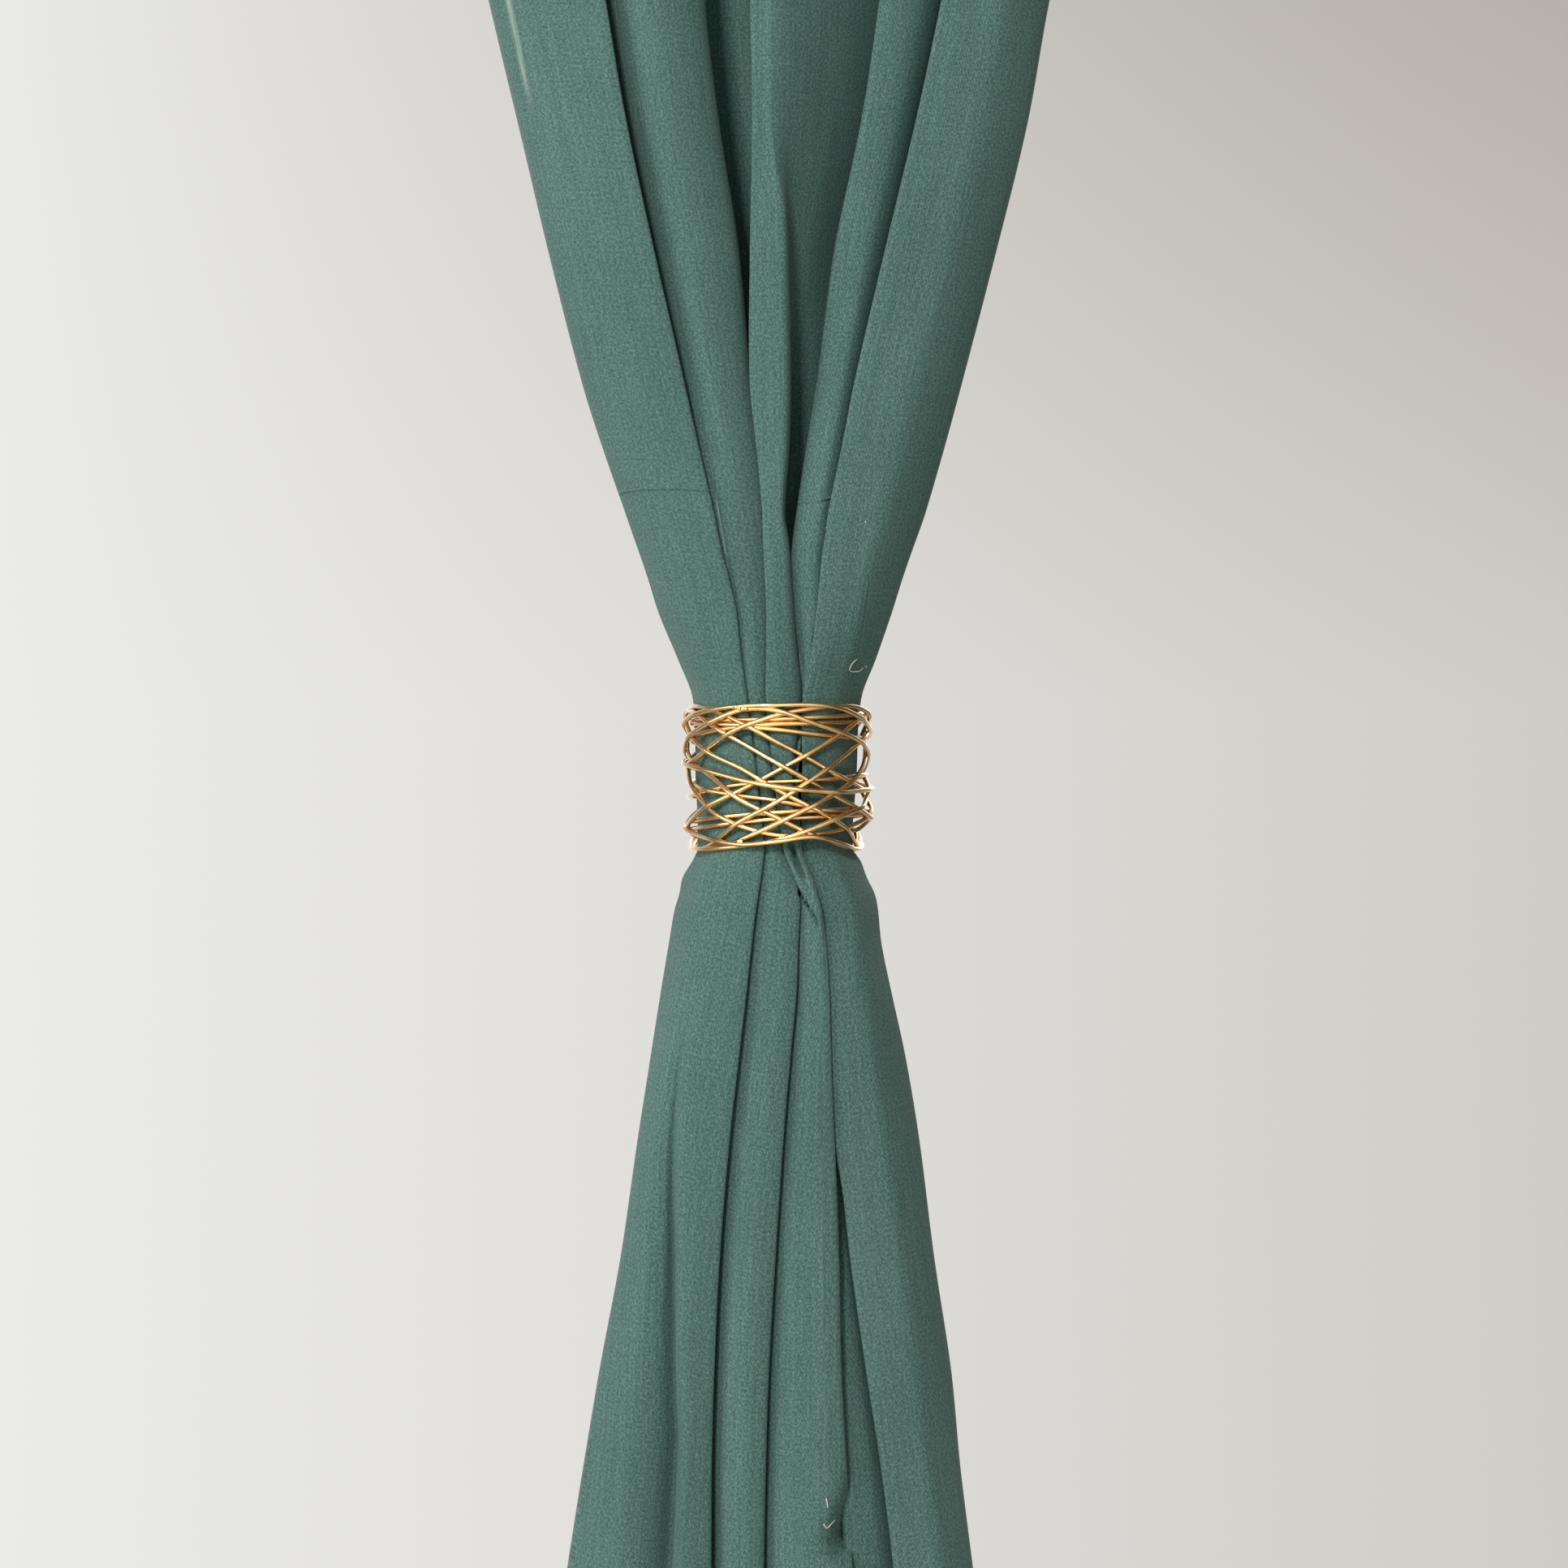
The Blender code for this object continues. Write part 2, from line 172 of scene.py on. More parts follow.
FOLD_LINES = (
    (370.0, -118.0, -73.5, -32.0, -10.0, 1.0, 48.0, 48.0, 75.0, 108.0),
    (300.0, -103.0, -63.0, -26.8, -9.2, 1.0, 39.8, 39.8, 63.0, 97.5),
    (239.0, -88.7, -52.4, -21.8, -8.6, 1.2, 32.0, 32.0, 50.8, 83.7),
    (200.0, -79.4, -45.9, -17.5, -7.6, 1.4, 26.0, 26.0, 42.5, 76.7),
    (160.0, -69.9, -37.4, -12.3, -7.8, 2.8, 17.6, 17.6, 33.0, 66.9),
    (120.0, -59.5, -28.3, -8.8, -8.0, 3.4, 12.3, 12.3, 23.8, 56.4),
    (100.0, -52.9, -23.9, -6.2, -6.0, 2.9, 9.1, 9.1, 20.0, 50.9),
    (80.0, -45.8, -19.3, -4.4, -4.2, 1.6, 6.1, 6.1, 15.9, 45.0),
    (72.0, -43.0, -17.7, -4.0, -4.0, 2.6, 5.0, 5.0, 14.8, 42.2),
    (66.0, -40.9, -16.4, -3.7, -3.7, 3.3, 4.9, 4.5, 13.9, 40.1),
    (60.0, -38.9, -14.7, -3.4, -3.4, 3.6, 5.2, 4.7, 13.3, 38.1),
    (50.0, -35.8, -12.4, -3.0, -3.0, 4.2, 5.6, 5.1, 12.3, 35.0),
    (36.0, -30.0, -10.8, -2.9, -2.9, 5.3, 6.6, 5.9, 10.4, 30.2),
    (24.0, -25.6, -9.1, -2.9, -2.9, 6.8, 8.1, 7.4, 8.0, 25.8),
    (0.0, -24.8, -6.2, -0.6, -0.6, 5.4, 7.0, 7.2, 7.3, 24.4),
    (-22.0, -24.1, -3.9, 2.4, 2.4, 6.6, 7.6, 7.6, 7.6, 23.2),
    (-26.0, -25.7, -4.3, 3.8, 3.8, 7.8, 8.9, 8.9, 8.9, 25.6),
    (-31.0, -28.6, -5.0, 5.9, 5.9, 9.6, 10.7, 10.7, 10.7, 27.4),
    (-36.0, -29.6, -5.8, 7.1, 7.1, 11.3, 12.4, 12.4, 12.4, 29.8),
    (-41.0, -31.1, -6.5, 6.9, 6.9, 12.2, 13.6, 13.6, 13.6, 30.8),
    (-51.0, -32.8, -7.7, 6.4, 6.4, 13.0, 14.9, 14.9, 14.9, 31.8),
    (-66.0, -35.3, -9.3, 5.8, 5.8, 13.4, 15.8, 15.8, 15.8, 34.8),
    (-86.0, -38.5, -11.6, 3.9, 3.9, 13.4, 16.3, 16.3, 16.3, 39.1),
    (-111.0, -42.5, -14.4, 1.8, 1.8, 13.6, 17.3, 17.3, 17.7, 43.3),
    (-146.0, -47.7, -17.2, -0.6, -0.6, 14.2, 18.6, 18.6, 22.5, 47.9),
    (-181.0, -54.3, -18.8, -2.6, -2.6, 14.6, 19.4, 19.4, 27.7, 53.3),
    (-211.0, -59.3, -19.6, -3.6, -3.6, 15.6, 21.1, 21.1, 32.2, 56.3),
    (-240.0, -63.9, -19.8, -4.1, -4.1, 16.8, 22.8, 22.8, 35.8, 59.9),
    (-300.0, -73.0, -20.8, -5.0, -5.0, 19.0, 25.8, 26.0, 41.0, 67.5),
    (-380.0, -84.0, -22.0, -6.0, -6.0, 21.4, 29.0, 30.0, 47.0, 77.0),
)


class FoldDepths(NamedTuple):
    """How deep the folds are at one height."""

    height: float
    depth: float  # half of the bundle's depth from front to back, in millimetres
    packed: float  # 1 where the ring presses the layers together, 0 where they hang free
    c_forward: float  # how far fold C's right edge comes to the front, as a share of the depth
    c_step: float  # how far its cloth drops back at the crease, in millimetres
    d_forward: float  # how far fold D's left side comes to the front, as a share of the depth
    d_rise: float  # how much further its right side comes, as a share of the depth
    hollow: float  # place of the soft trough in fold A, in millimetres
    dip: float  # its depth, in millimetres
    bc_floor: float  # how far back the cloth goes between folds B and C, as a share of the depth
    cd_line: float  # place of the floor between folds C and D, as a share of the way to D
    cd_floor: float  # how far back it is, as a share of the depth
    a_over_b: float  # how far fold A's edge covers fold B, in millimetres
    b_over_c: float  # the same for B and C, or C over B where it is negative
    c_over_d: float  # the same for C and D
    e_over_d: float  # the same for E and D, or E under C where it is negative


FOLD_DEPTHS = (
    (370.0, 26.0, 0.00, -0.05, 0.0, 0.60, -0.16, -94.0, 0.0, 0.60, 0.60, 0.50, 0.5, 0.0, -1.2, 1.2),
    (239.0, 27.0, 0.04, -0.12, 0.0, 0.62, -0.20, -68.0, 0.0, 0.60, 0.60, 0.55, 0.5, 0.0, -1.2, 1.2),
    (200.0, 27.0, 0.07, -0.18, 0.5, 0.62, -0.18, -60.0, 0.0, 0.60, 0.60, 0.55, 0.6, -0.2, -1.2, 1.2),
    (160.0, 27.0, 0.12, -0.18, 9.0, 0.66, -0.10, -51.0, 0.0, 0.65, 0.60, 0.55, 0.8, -0.6, -1.2, 1.2),
    (120.0, 27.0, 0.20, -0.12, 17.0, 0.73, 0.02, -42.0, 0.0, 0.80, 0.60, 0.55, 1.0, -0.8, -1.2, 1.1),
    (100.0, 26.4, 0.29, -0.20, 18.0, 0.77, 0.07, -36.0, 0.0, 0.88, 0.55, 0.60, 1.0, -0.8, -1.2, 0.9),
    (80.0, 26.0, 0.40, -0.45, 14.0, 0.79, 0.10, -31.0, 0.0, 0.95, 0.50, 0.75, 1.0, -0.8, -1.1, 0.8),
    (72.0, 25.7, 0.48, -0.60, 13.0, 0.79, 0.11, -28.0, 0.0, 0.95, 0.50, 0.82, 1.0, -0.8, -1.0, 0.7),
    (66.0, 25.4, 0.54, -0.60, 12.0, 0.79, 0.11, -26.0, 0.0, 0.95, 0.50, 0.85, 1.0, -0.8, -0.8, 0.7),
    (60.0, 25.2, 0.60, -0.50, 11.0, 0.78, 0.12, -24.0, 0.0, 0.95, 0.50, 0.90, 1.0, -0.8, -0.8, 0.6),
    (50.0, 25.0, 0.70, -0.40, 10.0, 0.76, 0.15, -22.0, 0.0, 0.95, 0.50, 0.95, 1.0, -0.8, -0.8, 0.6),
    (36.0, 25.2, 0.90, -0.20, 9.0, 0.76, 0.16, -19.0, 0.0, 0.96, 0.50, 0.96, 1.0, -0.8, -0.8, 0.5),
    (24.0, 25.4, 1.00, 0.20, 7.0, 0.80, 0.14, -16.0, 0.0, 0.97, 0.50, 0.97, 1.0, -0.7, -0.6, 0.5),
    (-22.0, 25.4, 1.00, 0.96, 0.0, 0.00, 0.00, -13.0, 0.0, 0.97, 0.50, 0.97, 1.0, -0.7, 0.5, -0.5),
    (-31.0, 26.0, 0.84, 0.96, 0.0, 0.00, 0.00, -15.0, 0.0, 0.97, 0.50, 0.97, 1.1, -0.7, 0.6, -0.8),
    (-41.0, 26.9, 0.72, 0.96, 0.0, 0.00, 0.00, -18.0, 0.0, 0.97, 0.50, 0.97, 1.2, 1.0, 1.0, -1.0),
    (-66.0, 28.2, 0.50, 0.96, 0.0, 0.10, 0.00, -24.0, 0.3, 0.97, 0.50, 0.97, 1.2, 1.2, 1.2, -1.0),
    (-86.0, 28.6, 0.42, 0.96, 0.0, 0.42, -0.04, -28.5, 1.4, 0.97, 0.50, 0.97, 1.3, 1.3, 1.4, -1.0),
    (-111.0, 28.0, 0.34, 0.96, 0.0, 0.70, -0.08, -31.0, 3.4, 0.97, 0.50, 0.97, 1.4, 1.4, 1.4, -0.4),
    (-146.0, 28.0, 0.24, 0.96, 0.0, 0.76, -0.10, -31.0, 6.0, 0.95, 0.50, 0.90, 1.5, 1.5, 1.4, 0.6),
    (-181.0, 28.0, 0.18, 0.96, 0.0, 0.75, -0.12, -30.8, 7.4, 0.95, 0.50, 0.85, 1.5, 1.5, 1.4, 1.0),
    (-240.0, 27.0, 0.10, 0.96, 0.0, 0.74, -0.14, -28.8, 9.2, 0.95, 0.50, 0.80, 1.5, 1.5, 1.4, 1.0),
    (-380.0, 25.0, 0.00, 0.96, 0.0, 0.74, -0.14, -28.0, 12.0, 0.90, 0.50, 0.80, 1.5, 1.5, 1.4, 1.0),
)


class Fold(NamedTuple):
    """The front of one fold above the ring or below it: radii in millimetres, the rest shares."""

    near_forward: float  # how far its left side comes to the front, as a share of the depth
    far_forward: float  # and its right side
    near_round: float  # radius of its left edge
    far_round: float  # radius of its right edge
    crown: float  # how far its middle swells, as a share of its width


# Each fold above the ring and below it, where a share of 0.00 is taken from the depths instead
FOLDS = {
    "A": (Fold(0.88, 0.97, 7.0, 1.0, 0.02), Fold(0.84, 0.98, 8.0, 2.4, 0.02)),
    "B": (Fold(0.84, 0.73, 13.0, 6.5, 0.10), Fold(0.76, 0.95, 9.0, 3.0, 0.15)),
    "C": (Fold(0.86, 0.00, 1.2, 2.0, 0.11), Fold(0.75, 0.00, 7.0, 1.6, 0.13)),
    "D": (Fold(0.00, 0.00, 2.2, 9.0, 0.08), Fold(0.00, 0.00, 1.4, 5.0, 0.08)),
    "E": (Fold(0.97, 0.88, 1.5, 4.0, 0.02), Fold(0.90, 0.85, 1.3, 6.0, 0.05)),
}


class Ripple(NamedTuple):
    """A random unevenness in the cloth."""

    across: float  # size across the cloth, in metres
    along: float  # size along the drop
    seed: float
    height: float  # in millimetres

    def push(self, u: float, v: float) -> float:
        """Returns how far it moves the cloth outward at u and v on the flat cloth, in millimetres."""
        return self.height * noise.noise((u / self.across, v / self.along, self.seed))


class Crease(NamedTuple):
    """A line in one fold with the cloth beside it moved, as (height, x) points in millimetres."""

    fold: str
    path: tuple[Point, ...]
    width: float  # half of the width of the step from one side to the other
    step: float  # how far the cloth on its right side moves back, or forward where it is negative
    groove: float  # depth of the groove along the line's left side
    fade: float  # length of its soft ends
    reach: float  # how far to its right the step holds
    soft: float = 2.0  # half of the length over which the step ends there
    groove_place: float = 0.7  # how far left of the line the groove is, in widths
    most_left: float = 4.0  # how far left of the line it moves the cloth at all, in widths


CREASES = (
    # the flap that comes out from under the ring and runs down into fold C's right edge
    Crease(
        "C",
        ((-29.5, 5.2), (-34.0, 7.0), (-36.9, 8.7), (-39.3, 10.3), (-42.0, 11.9), (-43.5, 12.9)),
        width=0.5,
        step=-2.4,
        groove=3.0,
        fade=3.5,
        reach=9.0,
    ),
    # the hollow between that flap and fold E
    Crease("C", ((-20.0, 5.0), (-24.0, 6.1), (-27.0, 7.3), (-30.0, 8.8)), 0.9, 0.3, 4.5, 3.0, 2.0),
    # the soft dent low in fold C's right side
    Crease(
        "C",
        ((-206.0, 26.5), (-214.0, 23.2), (-222.0, 19.6), (-229.0, 17.4), (-234.5, 17.6)),
        width=4.5,
        step=13.0,
        groove=0.3,
        fade=2.5,
        reach=16.0,
    ),
)


class Side(NamedTuple):
    """One side of a fold's front."""

    line: float  # where its edge runs
    over: float = 0.0  # 1 where it covers the fold beside it
    under: float = 0.0  # 1 where that fold covers it
    turn: float = 0.0  # how far the cloth turns back inward behind the edge, in millimetres


class Section(NamedTuple):
    """One level section of the cloth, from the left selvedge to the right one."""

    points: list[Point]
    steps: list[int]  # columns between each point and the next
    folds: list[str]  # the fold whose front each point is on
    runs: list[tuple[int, int]]  # the first and the last point of each front, ridge and side


@dataclass
class Drape:
    """The shape of the hanging cloth as a grid of points, its rows level and its columns along the drop."""

    run_spacing: float = 1.45  # millimetres between the middles of two touching layers
    under_depth: float = 2.6  # how far a covered edge lies behind the edge over it, in millimetres
    full_over: float = 0.6  # overlap from which one edge lies wholly over another, in millimetres
    ring_half: float = 24.0  # half of the height that the ring holds, in millimetres
    round_power: tuple[float, float] = (4.6, 2.1)  # of the bundle's outline: hanging free, and packed
    outline_end: float = 0.995  # where that outline ends, as a share of the half width
    pressed_round: float = 0.85  # radius of an edge that the ring presses
    pressed_from: float = 0.45  # how packed a fold is where its edges first have that radius
    d_pressed: tuple[float, float] = (-0.1, 0.25)  # rise of fold D over which its right edge gets it
    most_round: float = 0.45  # the largest radius of an edge, as a share of its fold's width
    round_start: float = 0.3  # share of the radius at which the edge's curve leaves the front
    turned_back: float = 0.2  # millimetres by which an edge turns back past its radius
    packed_crown: float = 0.35  # how far a covered fold swells at the ring, as a share of under_depth
    behind: float = 2.0  # millimetres from an open edge to the next point behind it
    back_ridge: float = 6.5  # half width of a ridge at the back, where the cloth hangs free
    back_round: float = 4.0
    narrowest_ridge: float = 2.6
    outer_floor: float = 0.97  # how far back the outer ridges lie, as a share of the depth
    least_d: float = 4.5  # width of fold D below which it starts to hide, in layers
    crease_half: float = 0.45  # half width of the crease in fold C, in millimetres
    bend_half: float = 3.5  # half width of the soft bend that it starts from
    bend_heights: tuple[float, float] = (200.0, 165.0)  # between which the bend becomes the crease
    level_parts: tuple[float, float] = (0.45, 0.85)  # how level the cloth beside each of them lies
    trough: tuple[float, float] = (0.30, 0.72)  # where fold A's trough may be, as shares of its width
    trough_rise: float = 2.3  # millimetres from the trough to the rise beside it
    most_rise: float = 0.86  # where that rise is at most, as a share of the width
    tuck: float = 0.45  # share of an outer fold's width that its selvedge comes back behind it
    tuck_back: float = 0.93  # how far back the selvedge lies, as a share of the depth
    turn_place: float = 0.45  # where the outer fold turns behind, as a share of the way to the selvedge
    turn_back: float = 0.90  # how far back that is
    half_wall: float = 0.25  # from the outline, which is the cloth's outside, to the cloth's middle
    # The last two points round an outer fold: how far in from the outline, and how far back, both as
    # shares of the depth
    round_side: tuple[Point, Point] = ((0.025, 0.34), (0.0, -0.02))
    free_above: float = 136.0  # height from which the cloth hangs free, in millimetres
    ripple: Ripple = Ripple(0.021, 0.130, 3.7, 0.42)  # the broad unevenness in the cloth
    wrinkle: Ripple = Ripple(0.0065, 0.048, 9.1, 0.16)  # the fine one
    pucker: Ripple = Ripple(0.0042, 0.160, 21.3, 0.30)  # the small pleats that run into the ring
    pucker_reach: tuple[float, ...] = (18.0, 30.0, 95.0)  # their start, full height and end from the ring
    held_still: float = 0.92  # share of the unevenness that the ring's grip takes away
    back_ripple: float = 0.25  # share of it that the cloth at the back has

    # Heights over the ring's middle, and the number of rows from each down to the next
    STAGES = (370.0, 239.0, 80.0, 24.0, -22.0, -51.0, -111.0, -212.0, -256.0, -380.0)
    ROWS = (24, 40, 24, 13, 22, 21, 25, 17, 23)

    def heights(self) -> list[float]:
        """Returns the height of every row over the ring's middle, in millimetres."""
        stages = zip(self.STAGES, self.STAGES[1:], self.ROWS)
        rows = [mix(top, foot, n / count) for top, foot, count in stages for n in range(count)]
        return [*rows, self.STAGES[-1]]

    def envelope(self, lines: FoldLines, packed: float, x: float) -> float:
        """Returns how deep the bundle is at x, as a share of its half depth: round at the ring."""
        middle = (lines.left + lines.right) / 2
        half = (lines.right - lines.left) / 2
        power = mix(*self.round_power, packed)
        reach = min(abs(x - middle) / half, self.outline_end)
        return (1 - reach**power) ** (1 / power)

    def front(
        self, lines: FoldLines, depths: FoldDepths, name: str, near: Side, far: Side, marks: Sequence[Point]
    ) -> list[Point]:
        """Shapes the front of one fold.

        Args:
            lines: The fold lines at this height.
            depths: The depths at this height.
            name: The fold's letter.
            near: Its left side.
            far: Its right side.
            marks: Places across it as shares of its width, each with how far back it lies.

        Returns:
            Its points from left to right, the first and the last behind its edges.
        """
        upper, lower = FOLDS[name]
        below = ease(lines.height, self.ring_half / 2, -self.ring_half / 2)
        fold = Fold(*(mix(a, b, below) for a, b in zip(upper, lower)))
        if name == "C":
            fold = fold._replace(far_forward=depths.c_forward)
        if name == "D":
            fold = fold._replace(
                near_forward=depths.d_forward,
                far_forward=depths.d_forward + depths.d_rise,
                far_round=mix(fold.far_round, self.pressed_round, ease(depths.d_rise, *self.d_pressed)),
            )
        packed = 0.0 if name == "D" else depths.packed
        width = far.line - near.line
        pressed = ease(packed, 0.0, self.pressed_from)
        near_packed = 1 - near.under * self.under_depth / depths.depth
        far_packed = 1 - far.under * self.under_depth / depths.depth
        covered = (near.under + far.under) * self.under_depth
        crown = mix(fold.crown * width, self.packed_crown * covered, packed)

        def at(x: float, back: float) -> Point:
            share = (x - near.line) / width
            free = mix(fold.near_forward, fold.far_forward, share)
            forward = mix(free, mix(near_packed, far_packed, share), packed)
            return x, -forward * depths.depth * self.envelope(lines, packed, x) + back

        ends = []
        for side, open_round, inward in ((near, fold.near_round, 1), (far, fold.far_round, -1)):
            radius = min(mix(open_round, self.pressed_round, pressed), self.most_round * width)
            x, y = at(side.line, radius)
            back = mix(self.behind, radius + self.turned_back, side.over)
            start = self.round_start * radius
            ends.append([(x + inward * side.turn, y + back), (x, y), at(side.line + inward * start, start)])
        across = [
            at(mix(near.line, far.line, share), back - crown * math.sin(math.pi * share))
            for share, back in marks
        ]
        return [*ends[0], *across, *ends[1][::-1]]

    def back(
        self, lines: FoldLines, depths: FoldDepths, necks: tuple[float, float], line: float, floor: float
    ) -> list[Point]:
        """Shapes the ridge at the back that joins one fold to the next.

        Args:
            lines: The fold lines at this height.
            depths: The depths at this height.
            necks: Where the folds on both sides are narrowest.
            line: The ridge's middle.
            floor: How far back it lies, as a share of the depth.

        Returns:
            Its points from left to right.
        """
        least, most = necks[0] + self.run_spacing / 2, necks[1] - self.run_spacing / 2
        near = mix(max(line - self.back_ridge, least), least, depths.packed)
        far = mix(min(line + self.back_ridge, most), most, depths.packed)
        edge = min(self.most_round * (far - near), self.back_round)

        def at(x: float, forward: float) -> Point:
            return x, floor * depths.depth * self.envelope(lines, depths.packed, x) - forward

        inner = self.round_start * edge
        return [at(near, edge), at(near + inner, inner), at(far - inner, inner), at(far, edge)]

    def necks(self, lines: FoldLines) -> list[float]:
        """Returns where each fold is narrowest, at the back, with room for the ridges between them."""
        spans = (
            (lines.left, lines.a_edge),
            (lines.a_edge, lines.b_edge),
            (lines.c_near, lines.c_far),
            (lines.d_edge, lines.e_edge),
            (lines.e_edge, lines.right),
        )
        found = [(near + far) / 2 for near, far in spans]
        found[0] = mix(lines.a_edge, lines.left, self.tuck)
        found[-1] = mix(lines.e_edge, lines.right, self.tuck)
        least = self.run_spacing + self.narrowest_ridge
        for n in range(1, len(found) - 1):
            found[n] = max(found[n], found[n - 1] + least)
        for n in range(len(found) - 2, 0, -1):
            found[n] = min(found[n], found[n + 1] - least)
        return found

    def side(
        self, lines: FoldLines, depths: FoldDepths, edge: float, seam: float, neck: float
    ) -> list[Point]:
        """Turns an outer fold to the back.

        Args:
            lines: The fold lines at this height.
            depths: The depths at this height.
            edge: The outline on this side.
            seam: The fold's other edge.
            neck: Where it is narrowest.

        Returns:
            Four points, from the selvedge to the outermost line.
        """
        inward = math.copysign(1.0, seam - edge)
        tuck = mix(mix(edge, seam, self.tuck), neck - inward * self.run_spacing, depths.packed)
        depth = depths.depth

        def rim(x: float, share: float) -> Point:
            return x, share * depth * self.envelope(lines, depths.packed, x)

        outer = [
            (edge + inward * (self.half_wall + share * depth), back * depth)
            for share, back in self.round_side
        ]
        return [rim(tuck, self.tuck_back), rim(mix(edge, tuck, self.turn_place), self.turn_back), *outer]

    def sides(
        self, lines: FoldLines, depths: FoldDepths, necks: Sequence[float]
    ) -> dict[str, tuple[Side, Side]]:
        """Places the left and the right side of every fold.

        Args:
            lines: The fold lines at this height.
            depths: The depths at this height.
            necks: Where each fold is narrowest.

        Returns:
            Both sides of each fold by its letter.
        """
        # Fold D narrows to two layers that hide between its neighbours
        hidden = 1 - held((lines.e_edge - lines.d_edge) / (self.least_d * self.run_spacing))
        middle = (lines.c_far + necks[2] + lines.e_edge + necks[4]) / 4
        half = self.run_spacing / 2
        near = mix(lines.d_edge - max(depths.c_over_d, 0.0), middle - half, hidden)
        far = mix(lines.e_edge + depths.e_over_d, middle + half, hidden)
        near = min(near, far - self.run_spacing)
        over = held(-depths.c_over_d / self.full_over)
        turn = over * (self.run_spacing - depths.c_over_d)
        edge = self.edge
        return {
            "A": (Side(lines.left), edge(lines.a_edge, depths.a_over_b, -1)),
            "B": (edge(lines.a_edge, -depths.a_over_b, 1), edge(lines.b_edge, depths.b_over_c, -1)),
            "C": (edge(lines.c_near, -depths.b_over_c, 1), edge(lines.c_far, depths.c_over_d, -1)),
            "D": (Side(near, over=over, turn=turn), Side(far)),
            "E": (edge(lines.e_edge, depths.e_over_d, 1), Side(lines.right)),
        }

    def marks(self, lines: FoldLines, depths: FoldDepths) -> dict[str, tuple[Point, ...]]:
        """Places points across the front of every fold.

        Args:
            lines: The fold lines at this height.
            depths: The depths at this height.

        Returns:
            For each fold by its letter, their places as shares of its width, each with how far back it
            lies in millimetres.
        """
        free = 1 - depths.packed
        width_a = lines.a_edge - lines.left
        hollow = held((depths.hollow - lines.left) / width_a, *self.trough)
        rise = min(hollow + self.trough_rise / width_a, self.most_rise)
        dip = depths.dip
        width_c = lines.c_far - lines.c_near
        crease = (lines.c_crease - lines.c_near) / width_c
        # The cloth on the crease's left lies nearly level, and bends only softly higher up
        sharp = ease(lines.height, *self.bend_heights)
        bend = mix(self.bend_half, self.crease_half, sharp) / width_c
        slope = (FOLDS["C"][0].near_forward - depths.c_forward) * depths.depth
        level = slope * crease * free * mix(*self.level_parts, sharp)
        level *= ease(lines.height, 0.0, self.ring_half)
        return {
            "A": ((0.45 * hollow, 0.02 * dip), (0.80 * hollow, 0.36 * dip), (hollow, dip), (rise, 0.0)),
            "B": ((0.36, 0.0), (0.66, 0.0)),
            "C": (
                (0.40 * crease, -0.40 * level),
                (crease - bend, -level),
                (crease + bend, depths.c_step - level),
                ((1 + crease) / 2, (depths.c_step - level) / 2),
            ),
            "D": ((0.36, 0.0), (0.66, 0.0)),
            "E": ((0.30, 0.35 * free), (0.62, -0.25 * free)),
        }

    def section(self, height: float) -> Section:
        """Shapes the level section of the cloth at a height over the ring's middle, in millimetres."""
        lines = FoldLines(*smooth_row(FOLD_LINES, height))
        depths = FoldDepths(*smooth_row(FOLD_DEPTHS, height))
        necks = self.necks(lines)
        marks = self.marks(lines, depths)
        fronts = {
            name: self.front(lines, depths, name, *both, marks[name])
            for name, both in self.sides(lines, depths, necks).items()
        }
        floors = (
            (lines.a_edge, self.outer_floor),
            ((lines.b_edge + lines.c_near) / 2, depths.bc_floor),
            (mix(lines.c_far, lines.d_edge, depths.cd_line), depths.cd_floor),
            (lines.e_edge, self.outer_floor),
        )
        backs = [
            self.back(lines, depths, between, *floor)
            for between, floor in zip(zip(necks, necks[1:]), floors)
        ]
        left = self.side(lines, depths, lines.left, lines.a_edge, necks[0])
        right = self.side(lines, depths, lines.right, lines.e_edge, necks[-1])
        run = 5  # columns along the cloth that runs from front to back or from back to front
        # Each stretch of cloth with its columns between one point and the next, and its fold
        pieces = (
            (left, (5, 4, 3, 4), HIDDEN),
            (fronts["A"][2:], (5, 5, 4, 4, 6, 3, 3, run), "A"),
            (backs[0], (2, 3, 2, run), HIDDEN),
            (fronts["B"], (2, 3, 4, 4, 4, 3, 2, run), "B"),
            (backs[1], (2, 2, 2, run), HIDDEN),
            (fronts["C"], (3, 3, 4, 5, 3, 5, 5, 3, 3, run), "C"),
            (backs[2], (2, 3, 2, run), HIDDEN),
            (fronts["D"], (2, 3, 3, 4, 3, 3, 2, run), "D"),
            (backs[3], (2, 2, 2, run), HIDDEN),
            (fronts["E"][:-2], (3, 3, 6, 7, 8, 4), "E"),
            (right[::-1], (3, 4, 5), HIDDEN),
        )
        points = [point for piece, _, _ in pieces for point in piece]
        steps = [count for _, counts, _ in pieces for count in counts]
        folds = [fold for piece, _, fold in pieces for _ in piece]
        ends = np.cumsum([len(piece) for piece, _, _ in pieces])
        runs = [(end - len(piece), end - 1) for end, (piece, _, _) in zip(ends, pieces)]
        return Section(points, steps, folds, runs)

    def edge(self, line: float, over: float, inward: int) -> Side:
        """Places one side of a fold at a seam.

        Args:
            line: Where the seam runs.
            over: How far this side covers its neighbour, or is covered where it is negative.
            inward: 1 for a left side, -1 for a right side.

        Returns:
            The side, with the room for the neighbour's cloth behind it.
        """
        covers = held(over / self.full_over)
        covered = held(-over / self.full_over)
        channel = self.run_spacing / 2 * (1 - covers - covered)
        place = line + inward * (channel - covered * abs(over))
        return Side(place, covers, covered, covers * (abs(over) + self.run_spacing))

